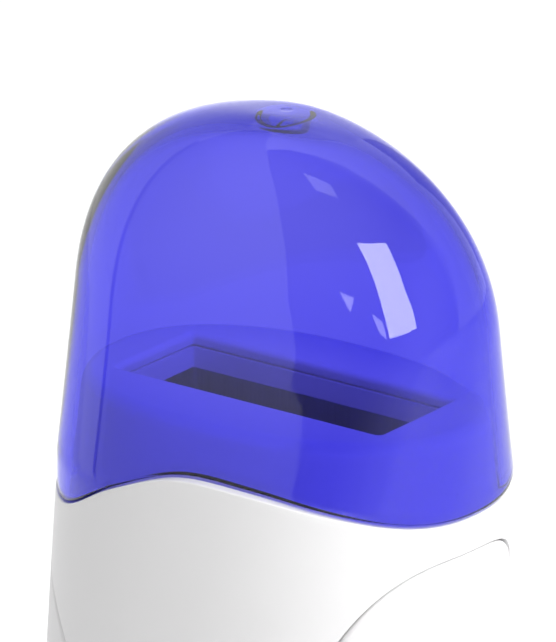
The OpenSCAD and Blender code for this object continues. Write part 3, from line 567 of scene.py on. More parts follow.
def plastic(name, colour, roughness, grain=9000.0, depth=0.004, shade=0.02, glow=0.0):
    """Moulded plastic: grain for the bump, slow changes of roughness and shade."""
    if name in bpy.data.materials:
        return bpy.data.materials[name]
    values = {"Grain Scale": grain, "Roughness": roughness, "Colour": (*colour, 1), "Shade": shade}
    material, shader = finish_from(name, grain_group(), values, depth)
    shader.inputs["IOR"].default_value = PLASTIC_IOR
    if glow:
        shader.inputs["Emission Color"].default_value = (*colour, 1)
        shader.inputs["Emission Strength"].default_value = glow
    return material


def metal(name, colour, roughness, stretch, depth=0.004):
    """Rolled or turned metal with streaks along one axis."""
    if name in bpy.data.materials:
        return bpy.data.materials[name]
    values = {"Stretch": stretch, "Roughness": roughness, "Colour": (*colour, 1)}
    material, shader = finish_from(name, streak_group(), values, depth)
    shader.inputs["Metallic"].default_value = 1.0
    return material


def clear_plastic(name, colour, wall=None, roughness=0.02):
    """Clear tinted plastic that lets lamps through.

    Without a wall the tint lies on the faces, and each of a wall's two faces passes the colour's
    root. With a wall in millimetres the tint lies in the plastic: absorption for each metre is minus
    the logarithm of the colour over the wall, so longer ways through it come out deeper.
    """
    material, tree, shader, output = new_material(name)
    face = CLEAR_FACE if wall else colour
    shader.inputs["Base Color"].default_value = (*face, 1)
    shader.inputs["Transmission Weight"].default_value = 1.0
    shader.inputs["IOR"].default_value = PLASTIC_IOR
    node = tree.nodes.new("ShaderNodeGroup")
    node.node_tree = grain_group()
    node.inputs["Grain Scale"].default_value = 700.0
    node.inputs["Roughness"].default_value = roughness
    node.inputs["Spread"].default_value = 0.015
    tree.links.new(node.outputs["Roughness"], shader.inputs["Roughness"])
    passed = tree.nodes.new("ShaderNodeBsdfTransparent")
    passed.inputs["Color"].default_value = (*(math.sqrt(c) for c in face), 1)
    path = tree.nodes.new("ShaderNodeLightPath")
    mix = tree.nodes.new("ShaderNodeMixShader")
    tree.links.new(path.outputs["Is Shadow Ray"], mix.inputs[0])
    tree.links.new(shader.outputs[0], mix.inputs[1])
    tree.links.new(passed.outputs[0], mix.inputs[2])
    tree.links.new(mix.outputs[0], output.inputs["Surface"])
    if wall:
        taken = [-math.log(min(c / f, 0.999)) / (wall * MM) for c, f in zip(colour, face)]
        density = max(taken) * 1.02
        volume = tree.nodes.new("ShaderNodeVolumeAbsorption")
        volume.inputs["Density"].default_value = density
        volume.inputs["Color"].default_value = (*(1 - t / density for t in taken), 1)
        tree.links.new(volume.outputs[0], output.inputs["Volume"])
    return material


# ---------------------------------------------------------------------------
# Pieces
# ---------------------------------------------------------------------------

# Points round the body and, as it has more rings, fewer round the cap
COLUMNS = 448
CAP_COLUMNS = 288


# Height of the cap's rounded lower rim, and the share of the dome's height where its crown begins
RIM_HEIGHT = 0.5
CROWN_SHARE = 0.9
# Radius within which the crown's rings are circles
CROWN_CIRCLE = 7.0
# Gate pad's sloping edge: how far it reaches outwards past the pad's radius, and its whole width
PAD_REACH = 0.3
PAD_SLOPE = 1.1
# Dimple that marks the gate outside: radius, width of its slope, depth
DIMPLE_RADIUS = 1.2
DIMPLE_SLOPE = 0.7
DIMPLE_DEPTH = 0.08
# From the cap's plan to the neck's outer face, and from the body's plan to it below the shoulder
NECK_INSET = 2.7
NECK_SEAT = 2.3
# Height over which the neck goes from the one to the other
NECK_BLEND = 6.0
# The neck's depth at the deck as a share of the cap's depth at the shoulder
DECK_SHARE = 0.86
# The neck's wall, how far it reaches below the shoulder, and the bevel of its lower edge
NECK_WALL = 1.8
NECK_DROP = 18.4
NECK_BEVEL = 0.3
# Rounding of the slot's lower edge
SLOT_UNDER_EDGE = 0.45
# Snap ribs on the neck's sides: height above the shoulder, half height, half length, how far they
# stand out, the length of their ends, and how deep the neck's sides count as flat
RIB_RISE = 2.5
RIB_HALF_HEIGHT = 0.9
RIB_HALF_LENGTH = 3.4
RIB_OUT = 0.25
RIB_END = 0.6
RIB_FLANK = 1.5


def cap_side(form, inset, angle):
    """Rings of the cap's side from its rounded rim up to the crown, closer towards the top."""
    top = form.shoulder + CROWN_SHARE * (form.dome_height - inset)
    low = edge_height(angle, form) + RIM_HEIGHT
    share = 1 - (1 - np.linspace(0, 1, 84)) ** 1.7
    z = low[None, :] + (top - low[None, :]) * share[:, None]
    return dome_point(z, angle[None, :], form, inset)


def cap_crown(form, inset, angle):
    """Rings of the dome's top, from circles at the middle to the oval that the side ends on.

    The height is the dome's own. On the inner face a smooth step at the gate pad's radius lets the
    pad down, and on the outer face a small dimple marks the gate.
    """
    wide, deep, power = dome_radii(np.array(CROWN_SHARE), form, inset)
    t = np.concatenate(
        [np.linspace(0.01, 0.25, 14), np.linspace(0.26, 0.40, 36), np.linspace(0.42, 0.99, 30)]
    )
    near = CROWN_CIRCLE * np.minimum(2 * t, 1)
    far = np.clip(2 * t - 1, 0, 1)
    half_w = (near + (wide - CROWN_CIRCLE) * far**1.2)[:, None]
    half_d = (near + (deep - CROWN_CIRCLE) * far)[:, None]
    x, y = oval(half_w, half_d, (2 + (power - 2) * far)[:, None], angle[None, :])
    z = dome_height(x, y, form, inset)
    r = np.hypot(x, y)
    if inset:
        level = form.total_height - form.cap_wall - form.gate_height
        z = z + (level - z) * smooth((form.gate_radius + PAD_REACH - r) / PAD_SLOPE)
    else:
        z = z - DIMPLE_DEPTH * smooth((DIMPLE_RADIUS - r) / DIMPLE_SLOPE)
    return np.stack([form.lean[0] + x, form.lean[1] + y, z], -1)


def build_cap():
    """Outer dome, rounded lower rim and inner dome as one closed surface."""
    form = Form()
    a = angles(CAP_COLUMNS)
    edge = edge_height(a, form)
    rim = []
    for turn in np.linspace(0, math.pi, 9)[1:-1]:
        inset = form.cap_wall * (1 + math.cos(turn)) / 2
        rim.append(dome_point(edge + RIM_HEIGHT * (1 - math.sin(turn) ** 0.6), a, form, inset))
    inner = [cap_crown(form, form.cap_wall, a), cap_side(form, form.cap_wall, a)[::-1]]
    outer = [cap_side(form, 0.0, a), cap_crown(form, 0.0, a)[::-1]]
    return ring_piece("clear_cap", np.concatenate([*inner, np.array(rim), *outer]))


def neck_point(z, angle, form, inset):
    """The neck: the cap's plan less the inset above the shoulder, the body's plan less it below."""
    q = np.clip((z - form.shoulder) / form.dome_height, 0, 1)
    half_w = form.cap_width / 2 - NECK_INSET - inset + 0 * q
    half_d = form.cap_depth / 2 * (1 - DOME_TAPER * q) - NECK_INSET - inset
    x, y = oval(half_w, half_d, PLAN_POWER, angle)
    above = np.stack([form.lean[0] + x, form.lean[1] + y, z + 0 * x], -1)
    below = body_point(z + 0 * x, angle + 0 * x, form, NECK_SEAT + inset)
    blend = smooth((z - form.shoulder) / NECK_BLEND + 0.5 + 0 * x)[..., None]
    return below + (above - below) * blend


def square_angles(count):
    """Angles whose rays cut a square's sides into even steps, corners included."""
    t = np.arange(count) / count * 4
    side = np.floor(t + 0.5)
    return side * math.pi / 2 + np.arctan(2 * (t - side))


def rounded_rectangle(half_w, half_d, radius, angle):
    """A rounded rectangle's outline, met by rays at the given angles in a square frame."""
    c, s = np.cos(angle), np.sin(angle)
    scale = 1 / np.maximum(np.abs(c), np.abs(s))
    u, v = c * scale * half_w, s * scale * half_d
    mid_u = np.clip(u, -half_w + radius, half_w - radius)
    mid_v = np.clip(v, -half_d + radius, half_d - radius)
    du, dv = u - mid_u, v - mid_v
    corner = (np.abs(du) > 1e-9) & (np.abs(dv) > 1e-9)
    shrink = np.where(corner, np.minimum(radius / np.maximum(np.hypot(du, dv), 1e-9), 1), 1)
    return mid_u + du * shrink, mid_v + dv * shrink


def build_deck():
    """Slot wall, flat deck, rounded shoulder, neck outside and inside, and the deck's underside."""
    form = Form()
    a = square_angles(512)
    low = form.shoulder - NECK_DROP
    under = form.deck - form.deck_wall

    def slot(grow, z):
        u, v = rounded_rectangle(
            form.slot_width / 2 + grow, form.slot_depth / 2 + grow, form.slot_corner + grow, a
        )
        return np.stack([form.lean[0] + u, form.lean[1] + v, z + 0 * u], -1)

    # angles of the neck's plan that look the same way as the slot's rays
    dx, dy = slot(0, 0)[..., :2].T - form.lean[:, None]
    plan = np.arctan2(
        signed_power(dy / (form.cap_depth / 2 * DECK_SHARE), PLAN_POWER / 2),
        signed_power(dx / (form.cap_width / 2), PLAN_POWER / 2),
    )

    def neck(z, inset):
        return neck_point(np.full(len(a), z), plan, form, inset)

    rings = [slot(left, under + gone) for left, gone in rounding(SLOT_UNDER_EDGE, 0, 5)]
    wall = np.linspace(under + SLOT_UNDER_EDGE + 0.1, form.deck - form.slot_edge, 3)
    rings += [slot(0, z) for z in wall]
    rings += [slot(gone, form.deck - left) for left, gone in rounding(form.slot_edge, 0.1, 10)]
    start, stop = slot(form.slot_edge, form.deck), neck(form.deck, form.deck_round)
    rings += [start + (stop - start) * share for share in np.linspace(0.06, 1, 22)]
    rings += [neck(form.deck - gone, left) for left, gone in rounding(form.deck_round, 0.1, 10)]
    rings += [neck(z, 0.0) for z in np.linspace(form.deck - form.deck_round - 1, low + NECK_BEVEL, 40)]
    rings += [neck(low, NECK_BEVEL), neck(low, NECK_WALL - NECK_BEVEL), neck(low + NECK_BEVEL, NECK_WALL)]
    rings += [neck(z, NECK_WALL) for z in np.linspace(low + 1, under - 0.6, 20)]
    last = neck(under, NECK_WALL + 0.6)
    rings += [last + (rings[0] - last) * share for share in (0, *np.linspace(0.1, 0.95, 8))]
    rings = np.array(rings)
    drop = np.abs(rings[..., 2] - form.shoulder - RIB_RISE)
    along = np.abs(rings[..., 1] - form.lean[1])
    across = rings[..., 0] - form.lean[0]
    outside = np.abs(across) > form.cap_width / 2 - NECK_INSET - RIB_FLANK
    rib = RIB_OUT * smooth(1 - drop / RIB_HALF_HEIGHT) * smooth((RIB_HALF_LENGTH - along) / RIB_END)
    rings[..., 0] += np.where(outside, np.sign(across) * rib, 0)
    return ring_piece("top_deck_shell", rings, wrap=True)


# The body's wall, its thinner lip above the ledge, and the ledge that carries the neck
BODY_WALL = 2.8
LIP_WALL = 2.0
LEDGE_INSET = 4.1
LEDGE_DROP = 18.7
# Rounding of the body's upper edge, outside and inside
BODY_EDGE = 0.3
BODY_INNER_EDGE = 0.2
# Side panels: thickness, rounding of their outer edge, depth of their pockets
PANEL_THICKNESS = 1.0
PANEL_EDGE = 0.6
POCKET_DEPTH = 1.25
# How far a cutter stands out of the wall that it cuts
CUT_OUT = 2.0
# Clearances of the button, the lamp's lens, the window and the inlet in the wall
BUTTON_GAP = 0.3
LAMP_GAP = 0.2
WINDOW_GAP = 0.15
INLET_GAP = 0.2
# Half height and corner radius of the inlet's opening
INLET_HALF_HEIGHT = 5.7
INLET_CORNER = 2.0


def panel_point(side, angle, share, grow, inset, form):
    """A point of a side panel: its rounded outline shrunk to its middle, laid on the body's wall."""
    half, top, bottom, shift = PANELS[side]
    half_h = (top - bottom) / 2
    middle = bottom + half_h
    y = shift + (half + grow) * signed_power(np.sin(angle), 2 / PANEL_POWER)
    z = middle + (half_h + grow) * signed_power(np.cos(angle), 2 / PANEL_POWER)
    power = PLAN_POWER / 2
    around = np.arcsin(np.clip(signed_power(y / body_radii(z, form)[1], power), -1, 1))
    around_mid = math.asin(float(signed_power(shift / body_radii(middle, form)[1], power)))
    at = around_mid + (around - around_mid) * share
    at_z = middle + (z - middle) * share
    turn = at if side == "right" else math.pi - at
    return body_point(at_z, turn, form, inset)


def panel_slab(name, side, grow, out, deep, form, round_edge=0.0, rows=40):
    """A closed slab of the body's skin inside the panel's outline, its outer edge rounded."""
    a = angles(512)[None, :]

    def layer(share, grown, inset):
        return panel_point(side, a, share, grown, inset, form)[0]

    shares = np.sin(np.linspace(0.02, 1, rows) * math.pi / 2)
    rings = [layer(share, grow - round_edge, -out) for share in shares]
    if round_edge:
        rings += [layer(1.0, grow - left, gone - out) for left, gone in rounding(round_edge, 0.15, 6)]
    rings.append(layer(1.0, grow, deep))
    rings += [layer(share, grow, deep) for share in np.linspace(0.95, 0.05, 12)]
    return point_outwards(ring_piece(name, np.array(rings)))


def rod_cutter(name, x, z, radius, form):
    """A plain rod along Y through the front wall."""
    start, depth = float(front_face(x, z, form)) - 2 * CUT_OUT, 9.0
    profile = [[radius * 0.5, 0], [radius, 0], [radius, depth], [radius * 0.5, depth]]
    return turned(name, profile, (x, start, z))


def bar_ring(half_w, half_h, angle):
    """An upright bar with round ends, in even steps: right side, upper end, left side, lower end."""
    straight = half_h - half_w
    side, bend = 2 * straight, math.pi * half_w
    s = angle / math.pi * (side + bend)
    upper = (s - side) / half_w
    lower = math.pi + (s - 2 * side - bend) / half_w
    parts = [s < side, s < side + bend, s < 2 * side + bend]
    x = np.select(parts, [half_w + 0 * s, half_w * np.cos(upper), -half_w + 0 * s], half_w * np.cos(lower))
    z = np.select(
        parts,
        [s - straight, straight + half_w * np.sin(upper), straight - (s - side - bend)],
        half_w * np.sin(lower) - straight,
    )
    return x, z


def bar_slab(name, middle, half_w, half_h, form, front, back, round_edge=0.0, follow=True):
    """A bar standing in the front wall; its faces follow the wall or lie flat."""
    a = angles(256)

    def layer(share, shrink, inset):
        x, z = bar_ring(half_w - shrink, half_h - shrink, a)
        x, z = middle[0] + x * share, middle[1] + z * share
        y = front_face(x, z, form, inset) if follow else inset + 0 * x
        return np.stack([x, y, z], -1)

    rings = [layer(share, round_edge, front) for share in np.linspace(0.04, 1, 14)]
    if round_edge:
        rings += [layer(1, left, front + gone) for left, gone in rounding(round_edge, 0.2, 5)]
    rings += [layer(share, 0, back) for share in np.linspace(1, 0.04, 8)]
    return point_outwards(ring_piece(name, np.array(rings)))


def build_body():
    """The body's shell: rounded foot, wall, wavy upper edge, ledge and inner wall, less its openings."""
    form = Form()
    a = angles(COLUMNS)
    edge = edge_height(a, form) - form.rim_gap
    low = form.foot_gap + form.foot_round
    ledge = form.shoulder - LEDGE_DROP

    def level(z, inset):
        return body_point(z + 0 * a, a, form, inset)

    rings = [level(form.foot_gap, BODY_WALL)]
    rings += [level(form.foot_gap + gone, left) for left, gone in rounding(form.foot_round, 0, 8)]
    rings += [level(low + (edge - BODY_EDGE - low) * share, 0) for share in np.linspace(0.01, 1, 130)]
    rings += [level(edge - left, gone) for left, gone in rounding(BODY_EDGE, 0.2, 5)]
    rings += [level(edge, LIP_WALL - BODY_INNER_EDGE), level(edge - BODY_INNER_EDGE, LIP_WALL)]
    rings += [level(z, LIP_WALL) for z in (ledge + 6, ledge + 0.1)]
    rings += [level(z, LEDGE_INSET) for z in (ledge, ledge - 2)]
    rings += [level(z, BODY_WALL) for z in np.linspace(ledge - 4, 3, 12)]
    body = point_outwards(ring_piece("body_skin", np.array(rings), wrap=True))
    line, _, lens = cad_middle("indicator_lens")
    button, window, inlet = (cad_middle(n)[2] for n in ("power_button", "window_lens", "inlet_pins"))
    front = float(front_face(line, window, form))
    rear = 2 * float(body_middle(inlet, form)[1]) - float(front_face(0.0, inlet, form))
    cutters = [
        panel_slab(f"cut_{side}", side, form.groove, CUT_OUT, POCKET_DEPTH, form, rows=12)
        for side in PANELS
    ]
    cutters += [
        rod_cutter("cut_button", line, button, form.button_radius + BUTTON_GAP, form),
        rod_cutter("cut_lamp", line, lens, form.lamp_radius + LAMP_GAP, form),
        bar_slab(
            "cut_window", (line, window), form.window_width / 2, form.window_height / 2,
            form, front - 5, front + 7, follow=False,
        ),
        inlet_cutter("cut_inlet", inlet, rear),
    ]
    return cut_with(body, cutters)


def inlet_cutter(name, z, rear):
    """A rounded box through the rear wall, where the inlet stands."""
    half_w = cad_size("inlet_housing")[0] / 2 + INLET_GAP
    u, v = rounded_rectangle(half_w, INLET_HALF_HEIGHT, INLET_CORNER, square_angles(128))
    layers = ((0.5, rear - 8), (1, rear - 8), (1, rear + 4), (0.5, rear + 4))
    rings = [np.stack([u * share, y + 0 * u, z + v * share], -1) for share, y in layers]
    return point_outwards(ring_piece(name, np.array(rings)))


def build_panel(side):
    """A side panel with a softly rounded edge."""
    name = f"side_panel_{side}_skin"
    return panel_slab(name, side, 0.0, 0.0, PANEL_THICKNESS, Form(), round_edge=PANEL_EDGE)


def build_window():
    """The clear level window, flush in the front wall."""
    form = Form()
    middle = cad_middle("indicator_lens")[0], cad_middle("window_lens")[2]
    half_w, half_h = form.window_width / 2 - WINDOW_GAP, form.window_height / 2 - WINDOW_GAP
    return bar_slab("level_window", middle, half_w, half_h, form, 0.05, 2.6, round_edge=0.3)


def build_lamp():
    """The lamp's lens: a low dome, a straight barrel and a flange behind the wall."""
    x, _, z = cad_middle("indicator_lens")
    low, high = (float(p[1]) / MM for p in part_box("indicator_lens"))
    r = Form().lamp_radius
    rise, flange, flange_height = 0.6, r + 1.2, 1.2
    turns = np.linspace(0.05, 1, 12) * math.pi / 2
    profile = [[r * math.sin(t), low + rise * (1 - math.cos(t))] for t in turns]
    profile += [[r, high - flange_height - 0.1], [r, high - flange_height]]
    profile += [[flange, high - flange_height], [flange, high], [0.5, high]]
    return turned("lamp_lens", profile, (x, 0, z), 64)


def build_button():
    """The button: a shallow dished face, a rounded edge, a skirt behind the wall and a stem."""
    form = Form()
    x, _, z = cad_middle("power_button")
    low, high = (float(p[1]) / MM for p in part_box("power_button"))
    r, wide = form.button_radius, cad_size("power_button")[0] / 2
    edge, dish, skirt_height, stem = 0.8, 0.28, 1.2, 2.75
    skirt = float(front_face(x + wide, z + r, form, BODY_WALL)) + 0.3
    profile = [[v * r, low + dish * smooth((0.86 - v) / 0.5)] for v in np.linspace(0.03, 0.86, 20)]
    turns = np.linspace(0.1, 1, 10) * math.pi / 2
    profile += [[r - edge + edge * math.sin(t), low + edge * (1 - math.cos(t))] for t in turns]
    profile += [[r, skirt - 0.1], [r, skirt], [wide, skirt], [wide, skirt + skirt_height]]
    profile += [[stem, skirt + skirt_height], [stem, high], [0.5, high]]
    return turned("button_cap", profile, (x, 0, z), 128)


# ---------------------------------------------------------------------------
# Operators
# ---------------------------------------------------------------------------


class WAXHEATER_OT_cap(Operator):
    """Make the clear tinted cap"""

    bl_idname = "wax_heater.cap"
    bl_label = "Cap"

    def execute(self, context):
        material = clear_plastic("Blue-violet clear plastic", tuple(colours().cap), Form().cap_wall)
        finish_piece(build_cap(), "cap", material, ["cap"])
        return {"FINISHED"}


class WAXHEATER_OT_body(Operator):
    """Make the white body shell with its pockets and openings"""

    bl_idname = "wax_heater.body"
    bl_label = "Body"

    def execute(self, context):
        material = plastic("White satin shell", tuple(colours().shell), 0.33, depth=0.003)
        finish_piece(build_body(), "heater", material, ["body_shell"], sharp=32)
        return {"FINISHED"}


class WAXHEATER_OT_panels(Operator):
    """Make both side panels"""

    bl_idname = "wax_heater.panels"
    bl_label = "Side panels"

    def execute(self, context):
        material = plastic("White fine-matt panel", tuple(colours().panel), 0.42, depth=0.005)
        for side in ("right", "left"):
            finish_piece(
                build_panel(side), "heater", material, [f"side_panel_{side}"], sharp=50
            )
        return {"FINISHED"}


class WAXHEATER_OT_deck(Operator):
    """Make the neck and the deck with the cartridge slot"""

    bl_idname = "wax_heater.deck"
    bl_label = "Deck"

    def execute(self, context):
        material = plastic("White satin deck", tuple(colours().deck), 0.3, depth=0.002)
        finish_piece(build_deck(), "heater", material, ["top_deck"], sharp=40)
        return {"FINISHED"}


class WAXHEATER_OT_controls(Operator):
    """Make the button, the lamp's lens and the level window"""

    bl_idname = "wax_heater.controls"
    bl_label = "Front controls"

    def execute(self, context):
        c = colours()
        button = plastic("Violet button plastic", tuple(c.button), 0.3, depth=0.003)
        finish_piece(build_button(), "button", button, ["power_button"], sharp=40)
        lamp = plastic("Amber lens", tuple(c.lamp), 0.22, depth=0.001, glow=0.15)
        finish_piece(build_lamp(), "heater", lamp, ["indicator_lens"], sharp=40)
        window = clear_plastic("Clear window plastic", (0.72, 0.72, 0.86), roughness=0.03)
        finish_piece(build_window(), "heater", window, ["window_lens"], sharp=50)
        return {"FINISHED"}


def node_finishes():
    """Material for each node of the frame that keeps its own mesh."""
    white = plastic("White satin deck", tuple(colours().deck), 0.3, depth=0.002)
    black = plastic("Black moulded plastic", (0.012, 0.012, 0.014), 0.45, grain=6000, depth=0.008)
    steel = metal("Zinc-plated steel", (0.56, 0.57, 0.6), 0.3, (2500.0, 2500.0, 2500.0))
    spring = metal("Rolled spring steel", (0.5, 0.51, 0.54), 0.28, (150.0, 4000.0, 150.0))
    amber = plastic("Amber lens", tuple(colours().lamp), 0.22, depth=0.001, glow=0.15)
    cream = plastic("Cream heat-resistant plastic", (0.78, 0.74, 0.64), 0.5, grain=5000, depth=0.01)
    return {
        "switch_plunger": plastic("Grey switch plastic", (0.6, 0.6, 0.6), 0.4),
        "push_switch": black,
        "indicator_lamp": amber,
        "control_board": plastic(
            "Green board lacquer", (0.01, 0.09, 0.03), 0.25, grain=1500, depth=0.01, shade=0.3
        ),
        "board_screws": steel,
        "chamber_collar": white,
        "collar_screws": steel,
        "heating_chamber": metal(
            "Drawn aluminium", (0.62, 0.63, 0.65), 0.38, (2500.0, 2500.0, 50.0), depth=0.006
        ),
        "cartridge_springs": spring,
        "chamber_floor": cream,
        "heater_packs": plastic(
            "Amber insulating film", (0.55, 0.3, 0.06), 0.2, grain=400, depth=0.05, shade=0.3
        ),
        "heater_clamps": spring,
        "clamp_rivets": steel,
        "insulation_sheet": plastic(
            "Mica and felt sheet", (0.68, 0.62, 0.48), 0.85, grain=1800, depth=0.06, shade=0.25
        ),
        "thermostat": black,
        "thermal_fuse": plastic(
            "Woven glass sleeve", (0.7, 0.67, 0.58), 0.8, grain=2500, depth=0.05, shade=0.2
        ),
        "inlet_housing": black,
        "inlet_pins": metal("Nickel-plated brass", (0.66, 0.62, 0.5), 0.2, (3000.0, 60.0, 3000.0)),
        "terminal_block": cream,
        "mains_leads": plastic("Blue wire insulation", (0.03, 0.07, 0.35), 0.35),
        "switch_leads": plastic("Red wire insulation", (0.45, 0.01, 0.01), 0.35),
        "heater_leads": plastic("White wire sleeve", (0.75, 0.75, 0.72), 0.4),
        "sensor_leads": plastic("White wire sleeve", (0.75, 0.75, 0.72), 0.4),
        "window_tunnel": white,
        "base_plate": plastic("White base plastic", (0.8, 0.8, 0.81), 0.5, grain=4000, depth=0.012),
        "base_screws": steel,
        "rubber_feet": plastic(
            "Grey rubber", (0.03, 0.03, 0.032), 0.75, grain=3500, depth=0.02, shade=0.2
        ),
    }


class WAXHEATER_OT_nodes(Operator):
    """Give every carried-over node its finish"""

    bl_idname = "wax_heater.nodes"
    bl_label = "Inner and lower parts"

    def execute(self, context):
        for name, material in node_finishes().items():
            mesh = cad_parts[name].data
            if not mesh.materials:
                mesh.materials.append(material)
            for i in range(len(mesh.materials)):
                mesh.materials[i] = material
        return {"FINISHED"}


# The photograph's camera: its angles in degrees, its distance and target in millimetres
AZIMUTH = 36.373
ELEVATION = 18.724
ROLL = 0.296
DISTANCE = 1224.0
TARGET = (2.0, 1.5, 151.5)
# Its focal length, optical centre and picture size in picture points, and its sensor in millimetres
FOCAL = 7679.7
CENTRE = (285.483, 280.269)
PICTURE = (556, 642)
SENSOR = 36.0


def add_camera():
    """The photograph's camera: azimuth and elevation about the target, a small roll and shift."""
    th, ph, ro = (math.radians(v) for v in (AZIMUTH, ELEVATION, ROLL))
    back = Vector((math.sin(th) * math.cos(ph), -math.cos(th) * math.cos(ph), math.sin(ph)))
    right = Vector((math.cos(th), math.sin(th), 0))
    up = back.cross(right)
    right, up = (
        math.cos(ro) * right + math.sin(ro) * up,
        -math.sin(ro) * right + math.cos(ro) * up,
    )
    data = bpy.data.cameras.new("Camera")
    data.sensor_fit = "VERTICAL"
    data.sensor_height = SENSOR
    data.lens = FOCAL / PICTURE[1] * SENSOR
    data.shift_x = (PICTURE[0] / 2 - CENTRE[0]) / PICTURE[1]
    data.shift_y = (CENTRE[1] - PICTURE[1] / 2) / PICTURE[1]
    data.clip_start, data.clip_end = 0.05, 50
    camera = bpy.data.objects.new("Camera", data)
    place = (Vector(TARGET) + back * DISTANCE) * MM
    matrix = Matrix((right, up, back)).transposed().to_4x4()
    matrix.translation = place
    camera.matrix_world = matrix
    bpy.context.scene.collection.objects.link(camera)
    bpy.context.scene.camera = camera


def soft_lamp(name, place, power):
    """A soft square lamp turned to the heater that shows in no reflection; places in metres."""
    data = bpy.data.lights.new(name, "AREA")
    data.shape = "RECTANGLE"
    data.size = data.size_y = LAMP_SIDE
    data.energy = power
    lamp = bpy.data.objects.new(name, data)
    bpy.context.scene.collection.objects.link(lamp)
    turn = (Vector(LAMP_AIM) - Vector(place)).to_track_quat("-Z", "Y")
    lamp.matrix_world = Matrix.Translation(place) @ turn.to_matrix().to_4x4()
    lamp.visible_camera = False
    lamp.visible_glossy = False
    lamp.visible_transmission = False


def light_card(name, corners, glow, faces=None):
    """A glowing card through corners in metres, seen in reflections only: it lights nothing itself."""
    corners = np.asarray(corners, float) / MM
    card = add_mesh(name, corners, [list(range(len(corners)))] if faces is None else faces)
    material, tree, shader, _ = new_material(f"{name} glow")
    shader.inputs["Base Color"].default_value = (0, 0, 0, 1)
    shader.inputs["Roughness"].default_value = 1.0
    shader.inputs["Specular IOR Level"].default_value = 0.0
    shader.inputs["Emission Color"].default_value = (1, 1, 1, 1)
    shader.inputs["Emission Strength"].default_value = glow
    card.data.materials.append(material)
    card.visible_camera = False
    card.visible_diffuse = False
    card.visible_transmission = False
    card.visible_shadow = False


def studio_world():
    """The room's light: for each direction in ROOM, a smooth step of the ray's direction along it."""
    world = bpy.context.scene.world or bpy.data.worlds.new("World")
    bpy.context.scene.world = world
    world.use_nodes = True
    tree = world.node_tree
    background = next(n for n in tree.nodes if n.type == "BACKGROUND")
    background.inputs["Color"].default_value = (1, 1, 1, 1)
    place = tree.nodes.new("ShaderNodeTexCoord")
    parts = []
    for direction, low, high, dark, light in ROOM:
        along = tree.nodes.new("ShaderNodeVectorMath")
        along.operation = "DOT_PRODUCT"
        along.inputs[1].default_value = direction
        tree.links.new(place.outputs["Generated"], along.inputs[0])
        step = tree.nodes.new("ShaderNodeMapRange")
        step.interpolation_type = "SMOOTHSTEP"
        for label, value in (("From Min", low), ("From Max", high), ("To Min", dark), ("To Max", light)):
            step.inputs[label].default_value = value
        tree.links.new(along.outputs["Value"], step.inputs["Value"])
        parts.append(step.outputs["Result"])
    tree.links.new(math_node(tree, "ADD", *parts), background.inputs["Strength"])


def around(azimuth, elevation, distance, height=0.15):
    """A place seen from the heater under an azimuth from the front and an elevation, in metres."""
    a, e = math.radians(azimuth), math.radians(elevation)
    return (
        distance * math.sin(a) * math.cos(e),
        -distance * math.cos(a) * math.cos(e),
        height + distance * math.sin(e),
    )


# The room's light: direction, where along it the light starts and stops to rise, brightness at both
ROOM = (
    ((-0.259, 0.966, 0.35), -0.17, 0.02, 0.27, 0.75),
    ((1.0, 0.0, 0.0), 0.35, 0.95, 0.0, 0.65),
)
# Soft lamps: azimuth from the front and elevation in degrees, power in watts
LAMPS = {"key": (70, 40, 8), "fill from the right": (90, 42, 14)}
LAMP_SIDE = 0.8
LAMP_DISTANCE = 1.6
LAMP_AIM = (0.0, 0.0, 0.1)
# Half of the floor's side in millimetres, and its glow
FLOOR_HALF = 6000
FLOOR_GLOW = 0.8
# Glow of the window and of the card overhead, and the walls' distance in metres
WINDOW_GLOW = 11.0
UPPER_GLOW = 1.7
WALL_DISTANCE = 1.8
# Corners of the bright window behind the camera, in metres
WINDOW = [
    (0.123, -1.712, 1.211), (0.384, -1.623, 1.291), (0.623, -1.489, 1.371), (0.823, -1.518, 1.207),
    (1.106, -1.511, 0.927), (1.329, -1.427, 0.713), (1.529, -1.306, 0.446), (1.363, -1.475, 0.446),
    (1.029, -1.713, 0.487), (0.779, -1.779, 0.718), (0.547, -1.787, 0.918), (0.327, -1.758, 1.087),
]
# Corners of the pale card overhead, in metres
UPPER_CARD = [
    (-1.3, -1.5, 1.7), (-0.55, -0.91, 1.7), (-0.09, -0.54, 1.7), (0.69, -0.34, 1.7), (2.07, 0.18, 1.7),
    (2.07, 2.0, 1.7), (-2.5, 2.0, 1.7), (-2.5, -1.0, 1.7),
]
# Pale walls: azimuth from the front with the heights of the lower and upper edge in degrees, glow
WALLS = {
    "left wall": (
        [(-68, -6, 56), (-58, -6, 56), (-52, -6, 52), (-45, -6, 45), (-33, -5, 33), (-25, -5, 25),
         (-17.4, -5, 18.3), (-6.9, -4, 13.2), (0, -4, 12), (8, -4, 10)],
        1.05,
    ),
    "left sweep": ([(-160, -25, 50), (-130, -25, 50), (-100, -25, 50), (-70, -25, 50)], 1.35),
    "right wall": ([(100, -22, 40), (120, -22, 42), (145, -22, 45), (172, -22, 45)], 1.7),
}
# Small panes beside the window: corners in metres, glow
PANES = {
    "upper pane": (
        [(-0.563, -1.397, 1.493), (-0.231, -1.367, 1.618), (-0.141, -1.485, 1.51), (-0.422, -1.528, 1.397)],
        2.2,
    ),
    "small pane": (
        [(-0.015, -1.882, 0.869), (0.201, -1.881, 0.85), (0.211, -1.907, 0.773), (0.111, -1.902, 0.809)],
        5.0,
    ),
    "narrow pane": (
        [(0.556, -1.849, 0.744), (0.796, -1.788, 0.662), (0.976, -1.741, 0.493), (0.806, -1.807, 0.574)],
        5.0,
    ),
}


